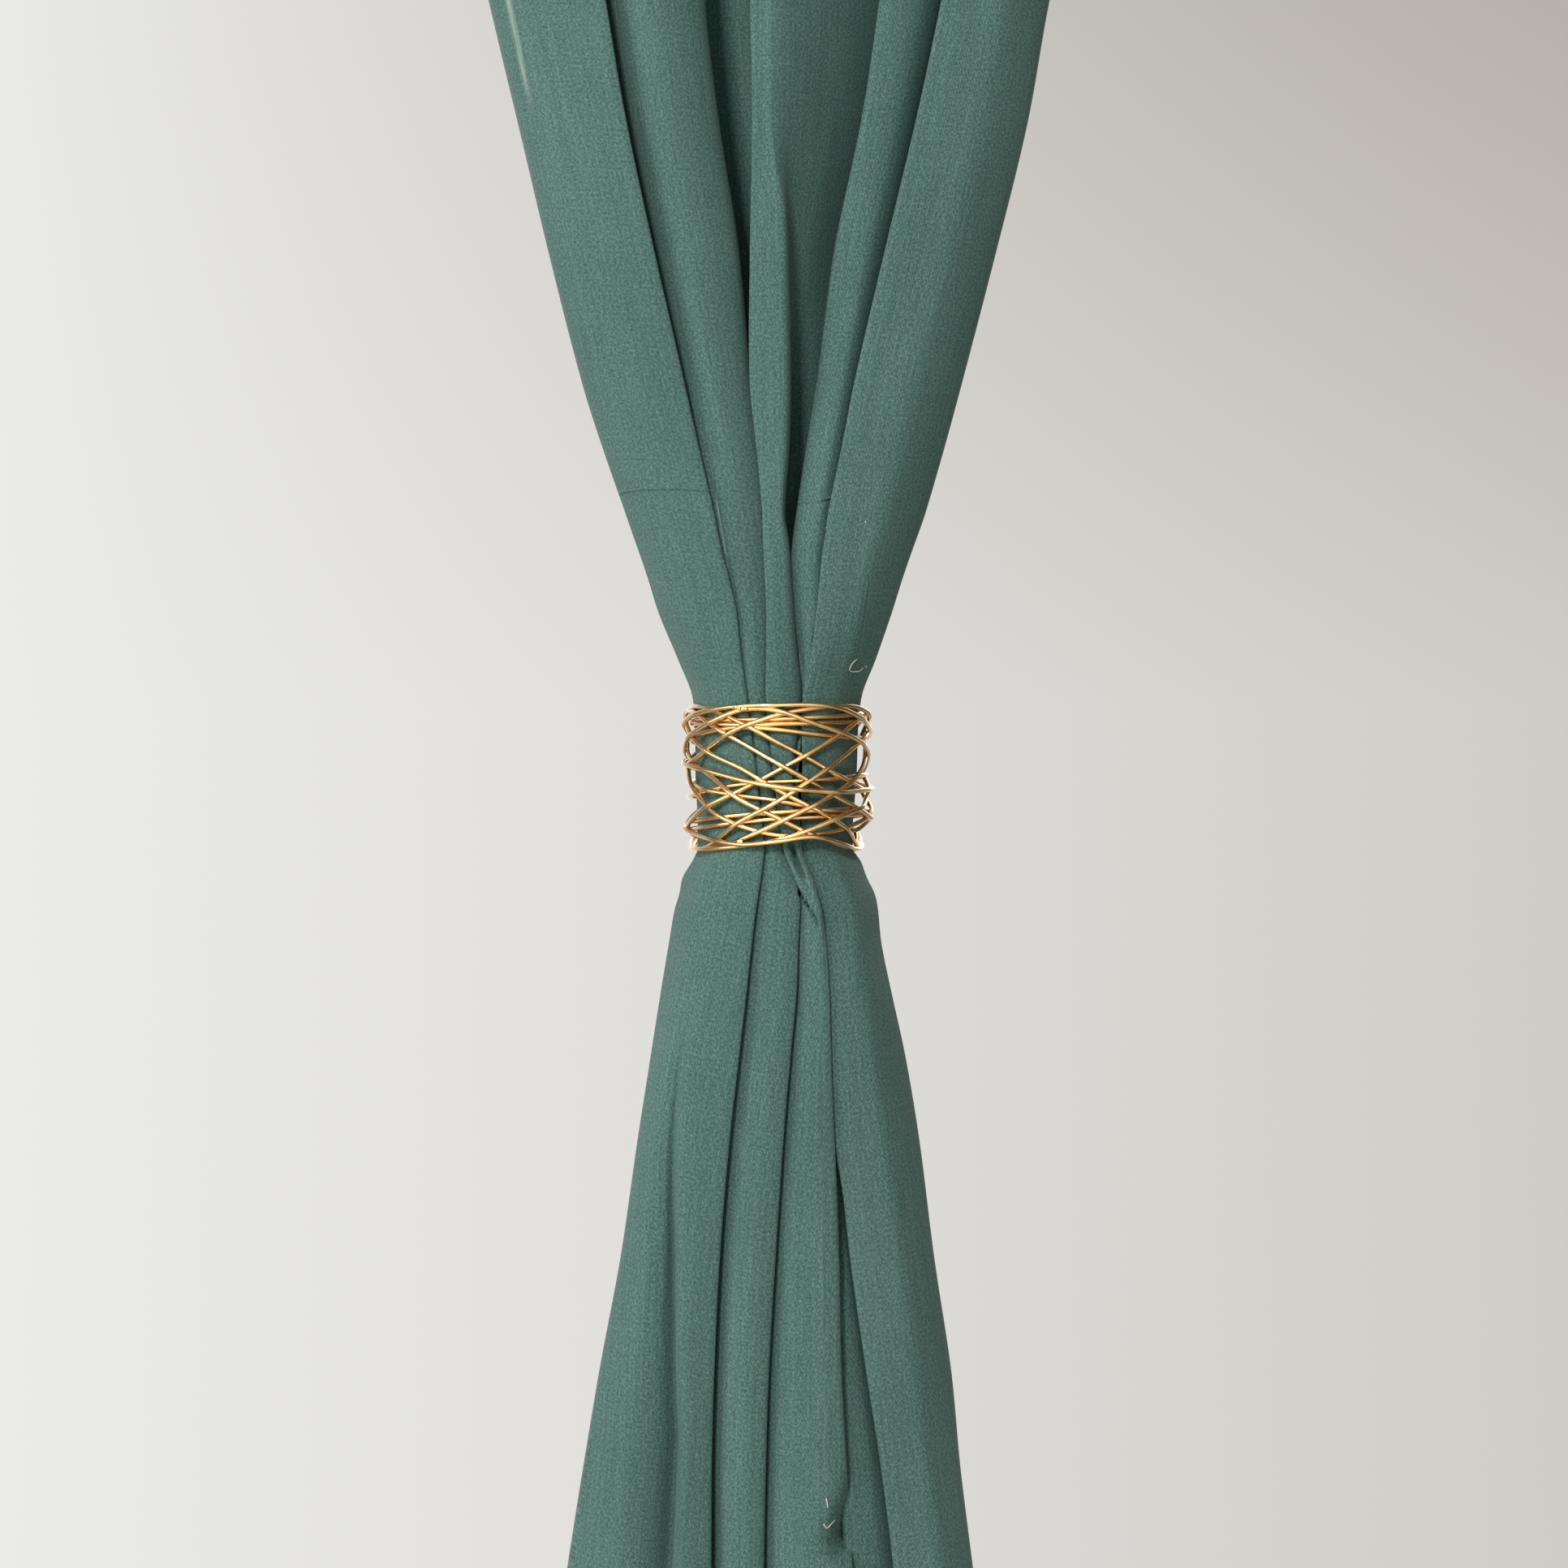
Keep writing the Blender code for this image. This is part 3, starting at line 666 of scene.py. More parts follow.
    def grid(self) -> tuple[np.ndarray, np.ndarray, np.ndarray]:
        """Shapes the whole cloth.

        Returns:
            The points as rows by columns by three, each one's place on the flat cloth as rows by
            columns by two, and its place among the threads in the same way, all in metres.
        """
        heights = self.heights()
        sections = [self.section(height) for height in heights]
        rows = [
            [(x, y, height) for x, y in smooth_line(section.points, section.steps)]
            for height, section in zip(heights, sections)
        ]
        _, steps, folds, runs = sections[0]
        marks = np.cumsum([0, *steps])
        columns = np.arange(marks[-1] + 1)
        front = np.interp(columns, marks, [float(fold != HIDDEN) for fold in folds])
        before = np.searchsorted(marks, columns, side="right") - 1
        letters = [folds[n] or folds[min(n + 1, len(folds) - 1)] for n in before]
        cloth = np.array(rows)
        across = np.linalg.norm(np.diff(cloth, axis=1), axis=2)
        widest = across[np.array(heights) > self.free_above].mean(axis=0)
        u = np.concatenate(([0.0], np.cumsum(widest)))
        u *= FLAT_WIDTH / u[-1]
        along = np.linalg.norm(np.diff(cloth, axis=0), axis=2)
        v = np.concatenate((np.zeros((1, len(u))), np.cumsum(along, axis=0))) * MM
        flat = np.stack((np.broadcast_to(u, v.shape), v), axis=2)
        threads = self.threads(across * MM, flat, [(marks[first], marks[last]) for first, last in runs])
        cloth = self.unevenness(cloth, flat, front, letters)
        cloth[:, :, 2] -= RING_DROP / MM
        return cloth * MM, flat, threads

    @staticmethod
    def threads(across: np.ndarray, flat: np.ndarray, runs: Sequence[tuple[int, int]]) -> np.ndarray:
        """Finds each point's place among the threads, which keep their real spacing on every front.

        Args:
            across: The distance from each point to the next one in its row, in metres.
            flat: Each point's place on the flat cloth, in metres.
            runs: The first and the last column of each front, ridge and side.

        Returns:
            The places as rows by columns by two, in metres.
        """
        reach = np.pad(np.cumsum(across, axis=1), ((0, 0), (1, 0)))
        known = np.concatenate([np.arange(first, last + 1) for first, last in runs])
        # The column of each run whose threads stay where they are on the flat cloth
        fixed = np.concatenate([np.full(last + 1 - first, (2 * first + last) // 3) for first, last in runs])
        placed = flat[:, fixed, 0] + reach[:, known] - reach[:, fixed]
        columns = np.arange(flat.shape[1])
        spread = np.array([np.interp(columns, known, row) for row in placed])
        return np.stack((spread, flat[:, :, 1]), axis=2)

    def unevenness(
        self, cloth: np.ndarray, flat: np.ndarray, front: np.ndarray, letters: Sequence[str]
    ) -> np.ndarray:
        """Adds the ripples, small pleats and creases that keep the folds from being even.

        Args:
            cloth: The even cloth, in millimetres over the ring's middle.
            flat: Each point's place on the flat cloth, in metres.
            front: How far each column is on the front of a fold.
            letters: The fold that each column belongs to.

        Returns:
            The uneven cloth.
        """
        out = outward(cloth)
        moved = cloth.copy()
        for j, row in enumerate(cloth):
            height = float(row[0][2])
            packed = FoldDepths(*smooth_row(FOLD_DEPTHS, height)).packed
            free = 1 - self.held_still * packed
            start, full, end = self.pucker_reach
            near_ring = ease(abs(height), end, full) * ease(abs(height), start, full)
            for i, (x, y, _) in enumerate(row):
                u, v = flat[j, i]
                push = self.ripple.push(u, v) * free + self.wrinkle.push(u, v) * free
                push += self.pucker.push(u, v) * near_ring
                shown = float(front[i]) if y < 0 else 0.0
                moved[j, i] += out[j, i] * push * mix(self.back_ripple, 1.0, shown)
                creases = [crease for crease in CREASES if crease.fold == letters[i]]
                back = sum(self.crease_at(crease, float(x), height) for crease in creases)
                moved[j, i, 1] += back * float(front[i])
        return moved

    @staticmethod
    def crease_at(crease: Crease, x: float, height: float) -> float:
        """Returns how far back a crease moves the cloth at x and height, in millimetres."""
        heights = [point[0] for point in crease.path]
        if not heights[-1] - crease.fade < height < heights[0] + crease.fade:
            return 0.0
        line = float(np.interp(-height, [-h for h in heights], [point[1] for point in crease.path]))
        beside = (x - line) / crease.width
        end = line + crease.reach
        if beside < -crease.most_left or x > end + 2 * crease.soft:
            return 0.0
        ends = ease(height, heights[-1] - crease.fade, heights[-1] + crease.fade)
        ends *= ease(height, heights[0] + crease.fade, heights[0] - crease.fade)
        step = ease(beside, -1.0, 1.0) * ease(x, end + crease.soft, end - crease.soft)
        groove = math.exp(-((beside + crease.groove_place) ** 2))
        return ends * (crease.step * step + crease.groove * groove)


class NodeTree:
    """The nodes of a material or of the world while they are being joined."""

    def __init__(self, owner: bpy.types.Material | bpy.types.World) -> None:
        """Empties the node tree of a material or of the world."""
        owner.use_nodes = True
        self.owner = owner
        self.tree = owner.node_tree
        self.tree.nodes.clear()

    @classmethod
    def named(cls, name: str) -> NodeTree:
        """Makes a new material's node tree, with the material's name."""
        return cls(bpy.data.materials.new(name))

    def node(self, kind: str, settings: dict | None = None, **links: object):
        """Adds a node.

        Args:
            kind: Its type in Blender.
            settings: Its own properties by name.
            **links: Its inputs by name, with _ for a space, or by number after "in". Each is a value
                or the output socket to join.

        Returns:
            The node.
        """
        made = self.tree.nodes.new(kind)
        for name, value in (settings or {}).items():
            setattr(made, name, value)
        for name, value in links.items():
            numbered = name[:2] == "in" and name[2:].isdigit()
            socket = made.inputs[int(name[2:]) if numbered else name.replace("_", " ")]
            if isinstance(value, bpy.types.NodeSocket):
                self.tree.links.new(value, socket)
            else:
                socket.default_value = value
        return made

    def math(self, operation: str, *values: object) -> bpy.types.NodeSocket:
        """Works out one operation on up to three values or sockets."""
        links = {f"in{n}": value for n, value in enumerate(values)}
        return self.node("ShaderNodeMath", {"operation": operation}, **links).outputs[0]

    def ranged(self, value: object, kind: str = "LINEAR", **ends: object) -> bpy.types.NodeSocket:
        """Maps a value from one range to another, with the ends named as in Blender."""
        settings = {"interpolation_type": kind}
        return self.node("ShaderNodeMapRange", settings, Value=value, **ends).outputs[0]

    def blend(self, share: object, start: object, end: object) -> bpy.types.NodeSocket:
        """Mixes two colours."""
        settings = {"data_type": "RGBA"}
        return self.node("ShaderNodeMix", settings, in0=share, in6=start, in7=end).outputs[2]

    def noise(self, place: object, scale: float, **links: object) -> bpy.types.NodeSocket:
        """Adds a noise texture, its scale in lumps a metre."""
        return self.node("ShaderNodeTexNoise", Vector=place, Scale=scale, **links).outputs["Fac"]

    def bump(self, height: object, strength: float, distance: float) -> bpy.types.NodeSocket:
        """Turns a height into a bump, as a normal."""
        return self.node("ShaderNodeBump", Height=height, Strength=strength, Distance=distance).outputs[0]

    def finish(self, **links: object) -> bpy.types.Material:
        """Joins a surface with these inputs to the output and returns the material."""
        surface = self.node("ShaderNodeBsdfPrincipled", **links)
        self.node("ShaderNodeOutputMaterial", Surface=surface.outputs[0])
        return self.owner


class Pattern(NamedTuple):
    """A random pattern in the cotton."""

    across: float  # size across the threads of the warp, in metres
    along: float  # size along them
    weight: float  # its part in the cloth's tone


class Mark(NamedTuple):
    """A soft straight line on the flat cloth, in metres."""

    place: float  # of its middle, measured across it
    start: float
    end: float
    width: float  # half of it
    lean: float = 0.0  # how far it moves across for each metre along


@dataclass(frozen=True)
class CottonTwill:
    """Piece-dyed cotton twill, washed: matt, with slubs along the warp and a fine diagonal line."""

    shade: str = "#42615C"  # between the yarns and where a slub is thin
    body: str = "#567972"
    light: str = "#70948D"  # on thick slubs
    worn: str = "#B9C9C1"  # dye rubbed off
    # Metres between the diagonal lines: the real 0.6 mm is too fine to show, so they are coarser here
    twill_pitch: float = 0.00078
    twill_angle: float = 64.0  # degrees from the weft
    twill_weight: float = 0.14
    spread: float = 0.255  # how far the tone goes from the body colour to the darkest and the lightest
    full_part: float = 0.6  # share of a mark's length over which it is at its strongest
    pressed_height: float = 4.2  # of a pressed line, in heights of the weave
    folded_height: float = -7.0

    PATTERNS = {
        "slub": Pattern(0.0011, 0.070, 0.20),
        "yarn": Pattern(0.00055, 0.012, 0.24),
        "weft": Pattern(0.020, 0.00080, 0.14),
        "patch": Pattern(0.045, 0.090, 0.20),
        "grain": Pattern(0.00075, 0.00080, 1.00),
    }
    # Where dye is rubbed off, in lines down the drop
    WORN = (Mark(0.0503, 0.078, 0.176, 0.0020, -0.02), Mark(0.1903, 0.289, 0.309, 0.0007))
    # Lines that an iron pressed across the cloth, and one that it folded in down the drop
    PRESSED = (Mark(0.2903, 0.036, 0.086, 0.0006, -0.07), Mark(0.2914, 0.398, 0.436, 0.0007, 0.09))
    FOLDED = (Mark(0.5461, 0.317, 0.359, 0.0005, 0.15),)

    def material(self) -> bpy.types.Material:
        """Builds the cotton."""
        t = NodeTree.named("washed_cotton_twill")
        uv = t.node("ShaderNodeUVMap", {"uv_map": "flat_cloth"}).outputs["UV"]
        threads = t.node("ShaderNodeUVMap", {"uv_map": "threads"}).outputs["UV"]
        fields = {}
        for name, pattern in self.PATTERNS.items():
            scale = (1 / pattern.across, 1 / pattern.along, 1.0)
            placed = t.node("ShaderNodeMapping", Vector=threads, Scale=scale)
            fields[name] = t.node(
                "ShaderNodeTexNoise",
                {"noise_dimensions": "2D"},
                Vector=placed.outputs[0],
                Scale=1.0,
                Detail=2.0,
                Roughness=0.55,
            ).outputs["Fac"]
        slope = math.radians(90 - self.twill_angle)
        turned = t.node("ShaderNodeMapping", Vector=threads, Rotation=(0.0, 0.0, slope))
        # A wave texture of scale 1 repeats every tau / 20 metres
        twill = t.node(
            "ShaderNodeTexWave",
            Vector=turned.outputs[0],
            Scale=math.tau / 20 / self.twill_pitch,
            Distortion=1.6,
            Detail=2.0,
            Detail_Scale=0.9,
        ).outputs["Fac"]
        tone = t.math("MULTIPLY_ADD", twill, self.twill_weight, -self.twill_weight / 2)
        for name, field in fields.items():
            tone = t.math("MULTIPLY_ADD", field, self.PATTERNS[name].weight, tone)
        middle = sum(pattern.weight for pattern in self.PATTERNS.values()) / 2
        level = t.ranged(tone, From_Min=middle - self.spread, From_Max=middle + self.spread)
        ramp = t.node("ShaderNodeValToRGB", Fac=level)
        stops = ramp.color_ramp.elements
        stops[0].color, stops[1].color = linear(self.shade), linear(self.light)
        stops.new(0.5).color = linear(self.body)
        colour = ramp.outputs["Color"]
        place = t.node("ShaderNodeSeparateXYZ", Vector=uv).outputs
        across, down = place["X"], place["Y"]
        for mark in self.WORN:
            rubbed = self.strip(t, across, down, mark)
            colour = t.blend(t.math("MULTIPLY", rubbed, fields["yarn"]), colour, linear(self.worn))
        height = tone
        for mark in self.PRESSED:
            line = self.strip(t, down, across, mark)
            height = t.math("MULTIPLY_ADD", line, self.pressed_height, height)
        for mark in self.FOLDED:
            line = self.strip(t, across, down, mark)
            height = t.math("MULTIPLY_ADD", line, self.folded_height, height)
        return t.finish(
            Base_Color=colour,
            Normal=t.bump(height, strength=0.55, distance=0.00022),
            Roughness=0.86,
            IOR=1.5,
            Specular_IOR_Level=0.22,
            Sheen_Weight=0.12,
            Sheen_Roughness=0.45,
        )

    def strip(self, t: NodeTree, across: object, along: object, mark: Mark) -> bpy.types.NodeSocket:
        """Draws a mark on the flat cloth.

        Args:
            t: The material's nodes.
            across: The coordinate that crosses the mark.
            along: The coordinate that runs along it.
            mark: The mark.

        Returns:
            The socket that is 1 in the mark and 0 outside it.
        """
        middle, half = (mark.start + mark.end) / 2, (mark.end - mark.start) / 2
        past = t.math("SUBTRACT", along, middle)
        line = t.math("MULTIPLY_ADD", past, mark.lean, mark.place)
        far = t.math("ABSOLUTE", t.math("SUBTRACT", across, line))
        length = t.math("ABSOLUTE", past)
        fade = {"kind": "SMOOTHSTEP", "To_Min": 1.0, "To_Max": 0.0}
        side = t.ranged(far, From_Max=mark.width, **fade)
        ends = t.ranged(length, From_Min=self.full_part * half, From_Max=half, **fade)
        return t.math("MULTIPLY", side, ends)


@dataclass(frozen=True)
class BrassWire:
    """Drawn brass wire, soldered and lacquered: bright ridges of light and warm brown between."""

    body: str = "#EEC06A"
    dull: str = "#B98136"  # where the lacquer has toned it
    toned_scale: float = 140.0  # toned patches in a metre
    drawn_mark: float = 0.0012  # size of the marks left by drawing and bending, in metres

    def material(self) -> bpy.types.Material:
        """Builds the brass."""
        t = NodeTree.named("lacquered_brass_wire")
        place = t.node("ShaderNodeTexCoord").outputs["Object"]
        tone = t.noise(place, self.toned_scale, Detail=3.0, Roughness=0.6)
        level = t.ranged(tone, From_Min=0.42, From_Max=0.76)
        drawn = t.noise(place, 1 / self.drawn_mark, Detail=2.0)
        return t.finish(
            Base_Color=t.blend(level, linear(self.body), linear(self.dull)),
            Metallic=1.0,
            Roughness=t.ranged(tone, To_Min=0.18, To_Max=0.36),
            Normal=t.bump(drawn, strength=0.08, distance=0.00004),
            Coat_Weight=1.0,
            Coat_Roughness=0.10,
            Coat_IOR=2.1,
        )


@dataclass(frozen=True)
class SpunThread:
    """Spun cotton thread: matt, with the twist of its plies."""

    name: str
    body: str
    dark: str
    twist: float = 0.0005  # metres from one ply to the next

    def material(self) -> bpy.types.Material:
        """Builds the thread."""
        t = NodeTree.named(self.name)
        place = t.node("ShaderNodeTexCoord").outputs["Object"]
        ply = t.noise(place, 1 / self.twist, Detail=1.0)
        return t.finish(
            Base_Color=t.blend(ply, linear(self.dark), linear(self.body)),
            Roughness=0.85,
            Specular_IOR_Level=0.25,
            Normal=t.bump(ply, strength=0.4, distance=0.00005),
        )


def place_mesh(name: str, bm: bmesh.types.BMesh, finish: bpy.types.Material) -> bpy.types.Object:
    """Turns a bmesh into a smooth object at the origin, in the scene, with its finish."""
    mesh = bpy.data.meshes.new(name)
    bm.to_mesh(mesh)
    bm.free()
    mesh.materials.append(finish)
    mesh.shade_smooth()
    made = bpy.data.objects.new(name, mesh)
    bpy.context.scene.collection.objects.link(made)
    return made


def sweep(bm: bmesh.types.BMesh, frames: Sequence[Matrix], radius: float, sides: int, closed: bool) -> None:
    """Draws a round wire along a path.

    Args:
        bm: Where it is drawn.
        frames: The wire's place at each step, with Z along it.
        radius: The wire's radius.
        sides: The number of its flat sides.
        closed: Whether its end joins its start, or else both ends are capped.
    """
    wire = bmesh.new()
    made = bmesh.ops.create_circle(
        wire, cap_ends=not closed, segments=sides, radius=radius, matrix=frames[0]
    )
    # A dictionary keeps each edge once and in order
    ring = list(dict.fromkeys(edge for vert in made["verts"] for edge in vert.link_edges))
    first = list(ring)
    for before, after in zip(frames, frames[1:]):
        drawn = bmesh.ops.extrude_edge_only(wire, edges=ring)
        verts = [item for item in drawn["geom"] if isinstance(item, bmesh.types.BMVert)]
        ring = [
            item for item in drawn["geom"]
            if isinstance(item, bmesh.types.BMEdge) and all(vert in verts for vert in item.verts)
        ]
        bmesh.ops.transform(wire, matrix=after @ before.inverted(), verts=verts)
    if closed:
        bmesh.ops.bridge_loops(wire, edges=first + ring)
    else:
        bmesh.ops.contextual_create(wire, geom=ring)
    bmesh.ops.recalc_face_normals(wire, faces=wire.faces)
    mesh = bpy.data.meshes.new("wire")
    wire.to_mesh(mesh)
    wire.free()
    bm.from_mesh(mesh)
    bpy.data.meshes.remove(mesh)


def frames_along(path: Sequence[Vector], outs: Sequence[Vector], closed: bool) -> list[Matrix]:
    """Finds the wire's place at each point of a path.

    Args:
        path: The wire's middle.
        outs: A direction across the wire at each point, which keeps it from twisting.
        closed: Whether the path's end joins its start.

    Returns:
        A matrix for each point, with Z along the wire.
    """
    found = []
    last = len(path) - 1
    for n, (point, out) in enumerate(zip(path, outs)):
        if closed:
            along = path[(n + 1) % len(path)] - path[n - 1]
        else:
            along = path[min(n + 1, last)] - path[max(n - 1, 0)]
        along.normalize()
        side = along.cross(out).normalized()
        across = side.cross(along)
        turn = Matrix((across, side, along)).transposed().to_4x4()
        found.append(Matrix.Translation(point) @ turn)
    return found


@dataclass
class Curtain:
    """The cloth: one sheet with its hems, and the thread that sews them."""

    drape: Drape
    cloth: float = 0.0005  # thickness of one layer
    hem: float = 0.0013  # thickness where the cloth is turned in twice
    hem_width: float = 0.012
    hem_step: float = 0.002  # width over which the hem's thickness ends
    stitch_inset: float = 0.0105  # from the edge to the sewn line
    stitch_length: float = 0.0024
    stitch_pitch: float = 0.0033
    stitch_radius: float = 0.00022
    stitch_margin: float = 0.004  # from each selvedge to the first stitch
    stitch_sunk: float = 0.0001  # how far its ends go into the cloth
    stitch_raised: float = 0.00008  # and how far its middle stands off it

    def __post_init__(self) -> None:
        """Shapes the cloth once for every piece that lies on it."""
        self.points, self.flat, self.threads = self.drape.grid()

    def build_cloth(self, finish: bpy.types.Material) -> bpy.types.Object:
        """Builds the sheet: a flat grid moved to its draped places, then given its thickness."""
        rows, columns = self.points.shape[:2]
        bm = bmesh.new()
        bmesh.ops.create_grid(bm, x_segments=columns - 1, y_segments=rows - 1, size=0.5)
        bm.verts.ensure_lookup_table()
        hem = bm.verts.layers.deform.verify()
        uv = bm.loops.layers.uv.new("flat_cloth")
        threads = bm.loops.layers.uv.new("threads")
        for n, vert in enumerate(bm.verts):
            row, column = divmod(n, columns)
            vert.co = self.points[row, column]
            u, v = self.flat[row, column]
            inset = min(u, FLAT_WIDTH - u, v, self.flat[-1, column, 1] - v)
            vert[hem][0] = 1.0 - ease(inset, self.hem_width, self.hem_width + self.hem_step)
        for face in bm.faces:
            for loop in face.loops:
                row, column = divmod(loop.vert.index, columns)
                loop[uv].uv = self.flat[row, column]
                loop[threads].uv = self.threads[row, column]
        curtain = place_mesh("cotton_curtain", bm, finish)
        curtain.vertex_groups.new(name="hem")
        wall = curtain.modifiers.new("cloth thickness", "SOLIDIFY")
        wall.thickness = self.hem
        wall.offset = 0.0
        wall.vertex_group = "hem"
        wall.thickness_vertex_group = self.cloth / self.hem
        return curtain

    def build_stitches(self, finish: bpy.types.Material) -> bpy.types.Object:
        """Builds the sewn line of the top hem and of the bottom hem, on both sides of the cloth."""
        bm = bmesh.new()
        out = outward(self.points)
        for line in (self.stitch_inset, DROP - self.stitch_inset):
            row = int(np.argmin(np.abs(self.points[:, 0, 2] + line)))
            path, normals = self.points[row], out[row]
            reach = np.concatenate(([0.0], np.cumsum(np.linalg.norm(np.diff(path, axis=0), axis=1))))
            for start in np.arange(self.stitch_margin, reach[-1] - self.stitch_margin, self.stitch_pitch):
                ends = [
                    Vector([float(np.interp(s, reach, path[:, k])) for k in range(3)])
                    for s in (start, start + self.stitch_length / 2, start + self.stitch_length)
                ]
                normal = Vector([float(np.interp(start, reach, normals[:, k])) for k in range(3)])
                normal.normalize()
                for side in (1.0, -1.0):
                    low = side * (self.hem / 2 - self.stitch_sunk)
                    high = side * (self.hem / 2 + self.stitch_raised)
                    stitch = [point + normal * rise for point, rise in zip(ends, (low, high, low))]
                    frames = frames_along(stitch, [normal] * 3, False)
                    sweep(bm, frames, self.stitch_radius, THREAD_SIDES, False)
        return place_mesh("hem_stitches", bm, finish)


@dataclass
class WireRing:
    """The ring: many turns of wire, each wound over those before it, soldered where they cross."""

    wire: float = 0.00074  # radius
    inner: float = 0.0262  # from the axis to the middle of a turn that lies against the cloth
    steps: int = 160
    sides: int = 10
    half_height: float = 0.022
    swell: float = 0.0010  # how far its sides swell out at mid height
    drawn_in: float = 0.0026  # how far its sides draw in at the lower edge
    drawn_from: float = 0.5  # how far down they start to, as a share of the half height
    least: float = 0.0249  # radius of a turn drawn in as far as the cloth lets it
    pressed: float = 0.90  # how far apart crossing wires are, in diameters
    wobble: float = 0.00035  # how far from round each turn is
    turned: float = 1.7  # how far round the next turn's wobble is shifted, in radians of it
    eased: int = 60  # rounds of easing that keep a turn from kinking where it crosses another
    sunk: float = 0.00028  # how far it may sink into the wire that it crosses, where the two are soldered
    drop_size: float = 1.15  # radius of a drop of solder, in radii of the wire
    drop_stretch: float = 1.6  # how much wider it is than high
    drop_uneven: float = 0.5
    drop_scale: float = 2600.0  # lumps in a metre

    # Height of each turn over the ring's middle, in tenths of a millimetre, at even steps from the back by
    # the left side, and in the order of winding, so that a later turn crosses over an earlier one
    TURNS = (
        (192, 189, 186, 183, 179, 176, 172, 171, 173, 178, 184, 189, 192, 194, 194, 194),
        (171, 170, 168, 166, 164, 161, 158, 156, 158, 161, 164, 167, 169, 170, 171, 171),
        (102, 101, 102, 105, 112, 123, 139, 148, 141, 130, 122, 119, 116, 112, 108, 104),
        (-35, -47, -57, -62, -62, -55, -37, -23, -16, -11, -5, 4, 5, -1, -10, -22),
        (-50, -35, -23, -16, -17, -26, -45, -59, -72, -92, -105, -110, -106, -96, -83, -66),
        (-126, -132, -137, -139, -139, -134, -125, -115, -108, -103, -100, -99, -102, -106, -112, -119),
        (-144, -151, -157, -160, -161, -157, -148, -137, -128, -123, -118, -116, -118, -122, -129, -136),
        (76, 120, 161, 193, 212, 214, 197, 162, 104, 52, -2, -34, -42, -31, -5, 33),
        (74, 90, 91, 74, 36, -28, -104, -151, -176, -175, -162, -137, -95, -42, 5, 45),
        (-40, -110, -163, -187, -165, -129, -85, -39, 16, 73, 128, 178, 190, 162, 108, 36),
        (-60, 18, 96, 160, 197, 195, 156, 100, 41, -16, -69, -114, -141, -166, -166, -126),
        (27, 88, 127, 130, 81, 39, -3, -72, -123, -174, -204, -218, -217, -180, -119, -46),
        (43, 29, 23, 24, 32, 48, 96, 146, 184, 204, 213, 210, 174, 122, 90, 63),
        (49, 130, 189, 212, 184, 123, 67, 23, -38, -94, -146, -196, -214, -185, -122, -40),
        (-24, -92, -156, -206, -220, -220, -196, -135, -77, -8, 55, 106, 135, 128, 94, 40),
        (0, -72, -142, -199, -220, -220, -215, -188, -142, -88, -35, 20, 69, 110, 102, 62),
        (-44, -94, -147, -192, -220, -220, -218, -209, -192, -157, -115, -83, -41, 6, 16, -4),
        (23, 37, 48, 52, 47, 32, 13, -11, -31, -43, -47, -42, -37, -26, -11, 6),
        (-25, -9, 16, 48, 83, 122, 163, 201, 198, 163, 133, 101, 67, 16, -15, -28),
        (90, 95, 107, 125, 150, 184, 202, 212, 214, 216, 206, 175, 147, 121, 103, 93),
        (-98, -78, -78, -109, -152, -176, -192, -205, -196, -182, -202, -220, -220, -199, -166, -130),
    )
    # Solder at the crossings: angle from the front in degrees, height in millimetres
    SOLDER = ((-25.0, 20.8), (-21.0, 20.4), (-24.0, -19.6), (152.0, 18.0), (-140.0, -17.5))

    def heights(self, turn: Sequence[float]) -> np.ndarray:
        """Returns a turn's height over the ring's middle at each step, from the back round."""
        count = len(turn)
        apart = math.tau * self.inner / MM / count
        around = [(turn[n % count] / 10, n * apart) for n in range(-1, count + 2)]
        pieces = [self.steps // count] * (len(around) - 1)
        curve = np.array(smooth_line(around, pieces))[:, 0]
        return curve[pieces[0] : pieces[0] + self.steps] * MM

    def angles(self) -> np.ndarray:
        """Returns the angle from the ring's front at each step, from the back round."""
        return np.linspace(-math.pi, math.pi, self.steps, endpoint=False)

    def wound(self) -> list[tuple[np.ndarray, np.ndarray]]:
        """Winds the turns, each pulled tight over those before it.

        Returns:
            The radius and the height of every turn at each step.
        """
        angle = self.angles()
        done: list[tuple[np.ndarray, np.ndarray]] = []
        for n, turn in enumerate(self.TURNS):
            height = self.heights(turn)
            slope = np.gradient(height) / (math.tau * self.inner / self.steps)
            lean = 1 / np.sqrt(1 + slope**2)
            floor = np.full(self.steps, self.inner) + self.wobble * np.sin(2 * angle + self.turned * n)
            for radius, other in done:
                apart = np.abs(height - other) * lean
                touching = apart < 2 * self.wire
                rise = np.sqrt(np.maximum((2 * self.wire) ** 2 - apart**2, 0)) * self.pressed
                floor = np.where(touching, np.maximum(floor, radius + rise), floor)
            tight = floor.copy()
            for _ in range(self.eased):
                # Half of each point's own radius and half of its neighbours' mean
                eased = 0.5 * tight + 0.25 * (np.roll(tight, 1) + np.roll(tight, -1))
                tight = np.maximum(eased, floor - self.sunk)
            done.append((tight, height))
        return [(self.shaped(radius, height, angle), height) for radius, height in done]

    def shaped(self, radius: np.ndarray, height: np.ndarray, angle: np.ndarray) -> np.ndarray:
        """Returns a turn's radius with the sides' swell and their drawing in below."""
        level = np.clip(height / self.half_height, -1.0, 1.0)
        sides = np.sin(angle) ** 2
        below = np.clip((-level - self.drawn_from) / (1 - self.drawn_from), 0.0, 1.0) ** 2
        swollen = radius + self.swell * (1 - level**2) * sides
        drawn = np.maximum(swollen - self.drawn_in * below * sides, self.least)
        return np.where(below > 0, drawn, swollen)

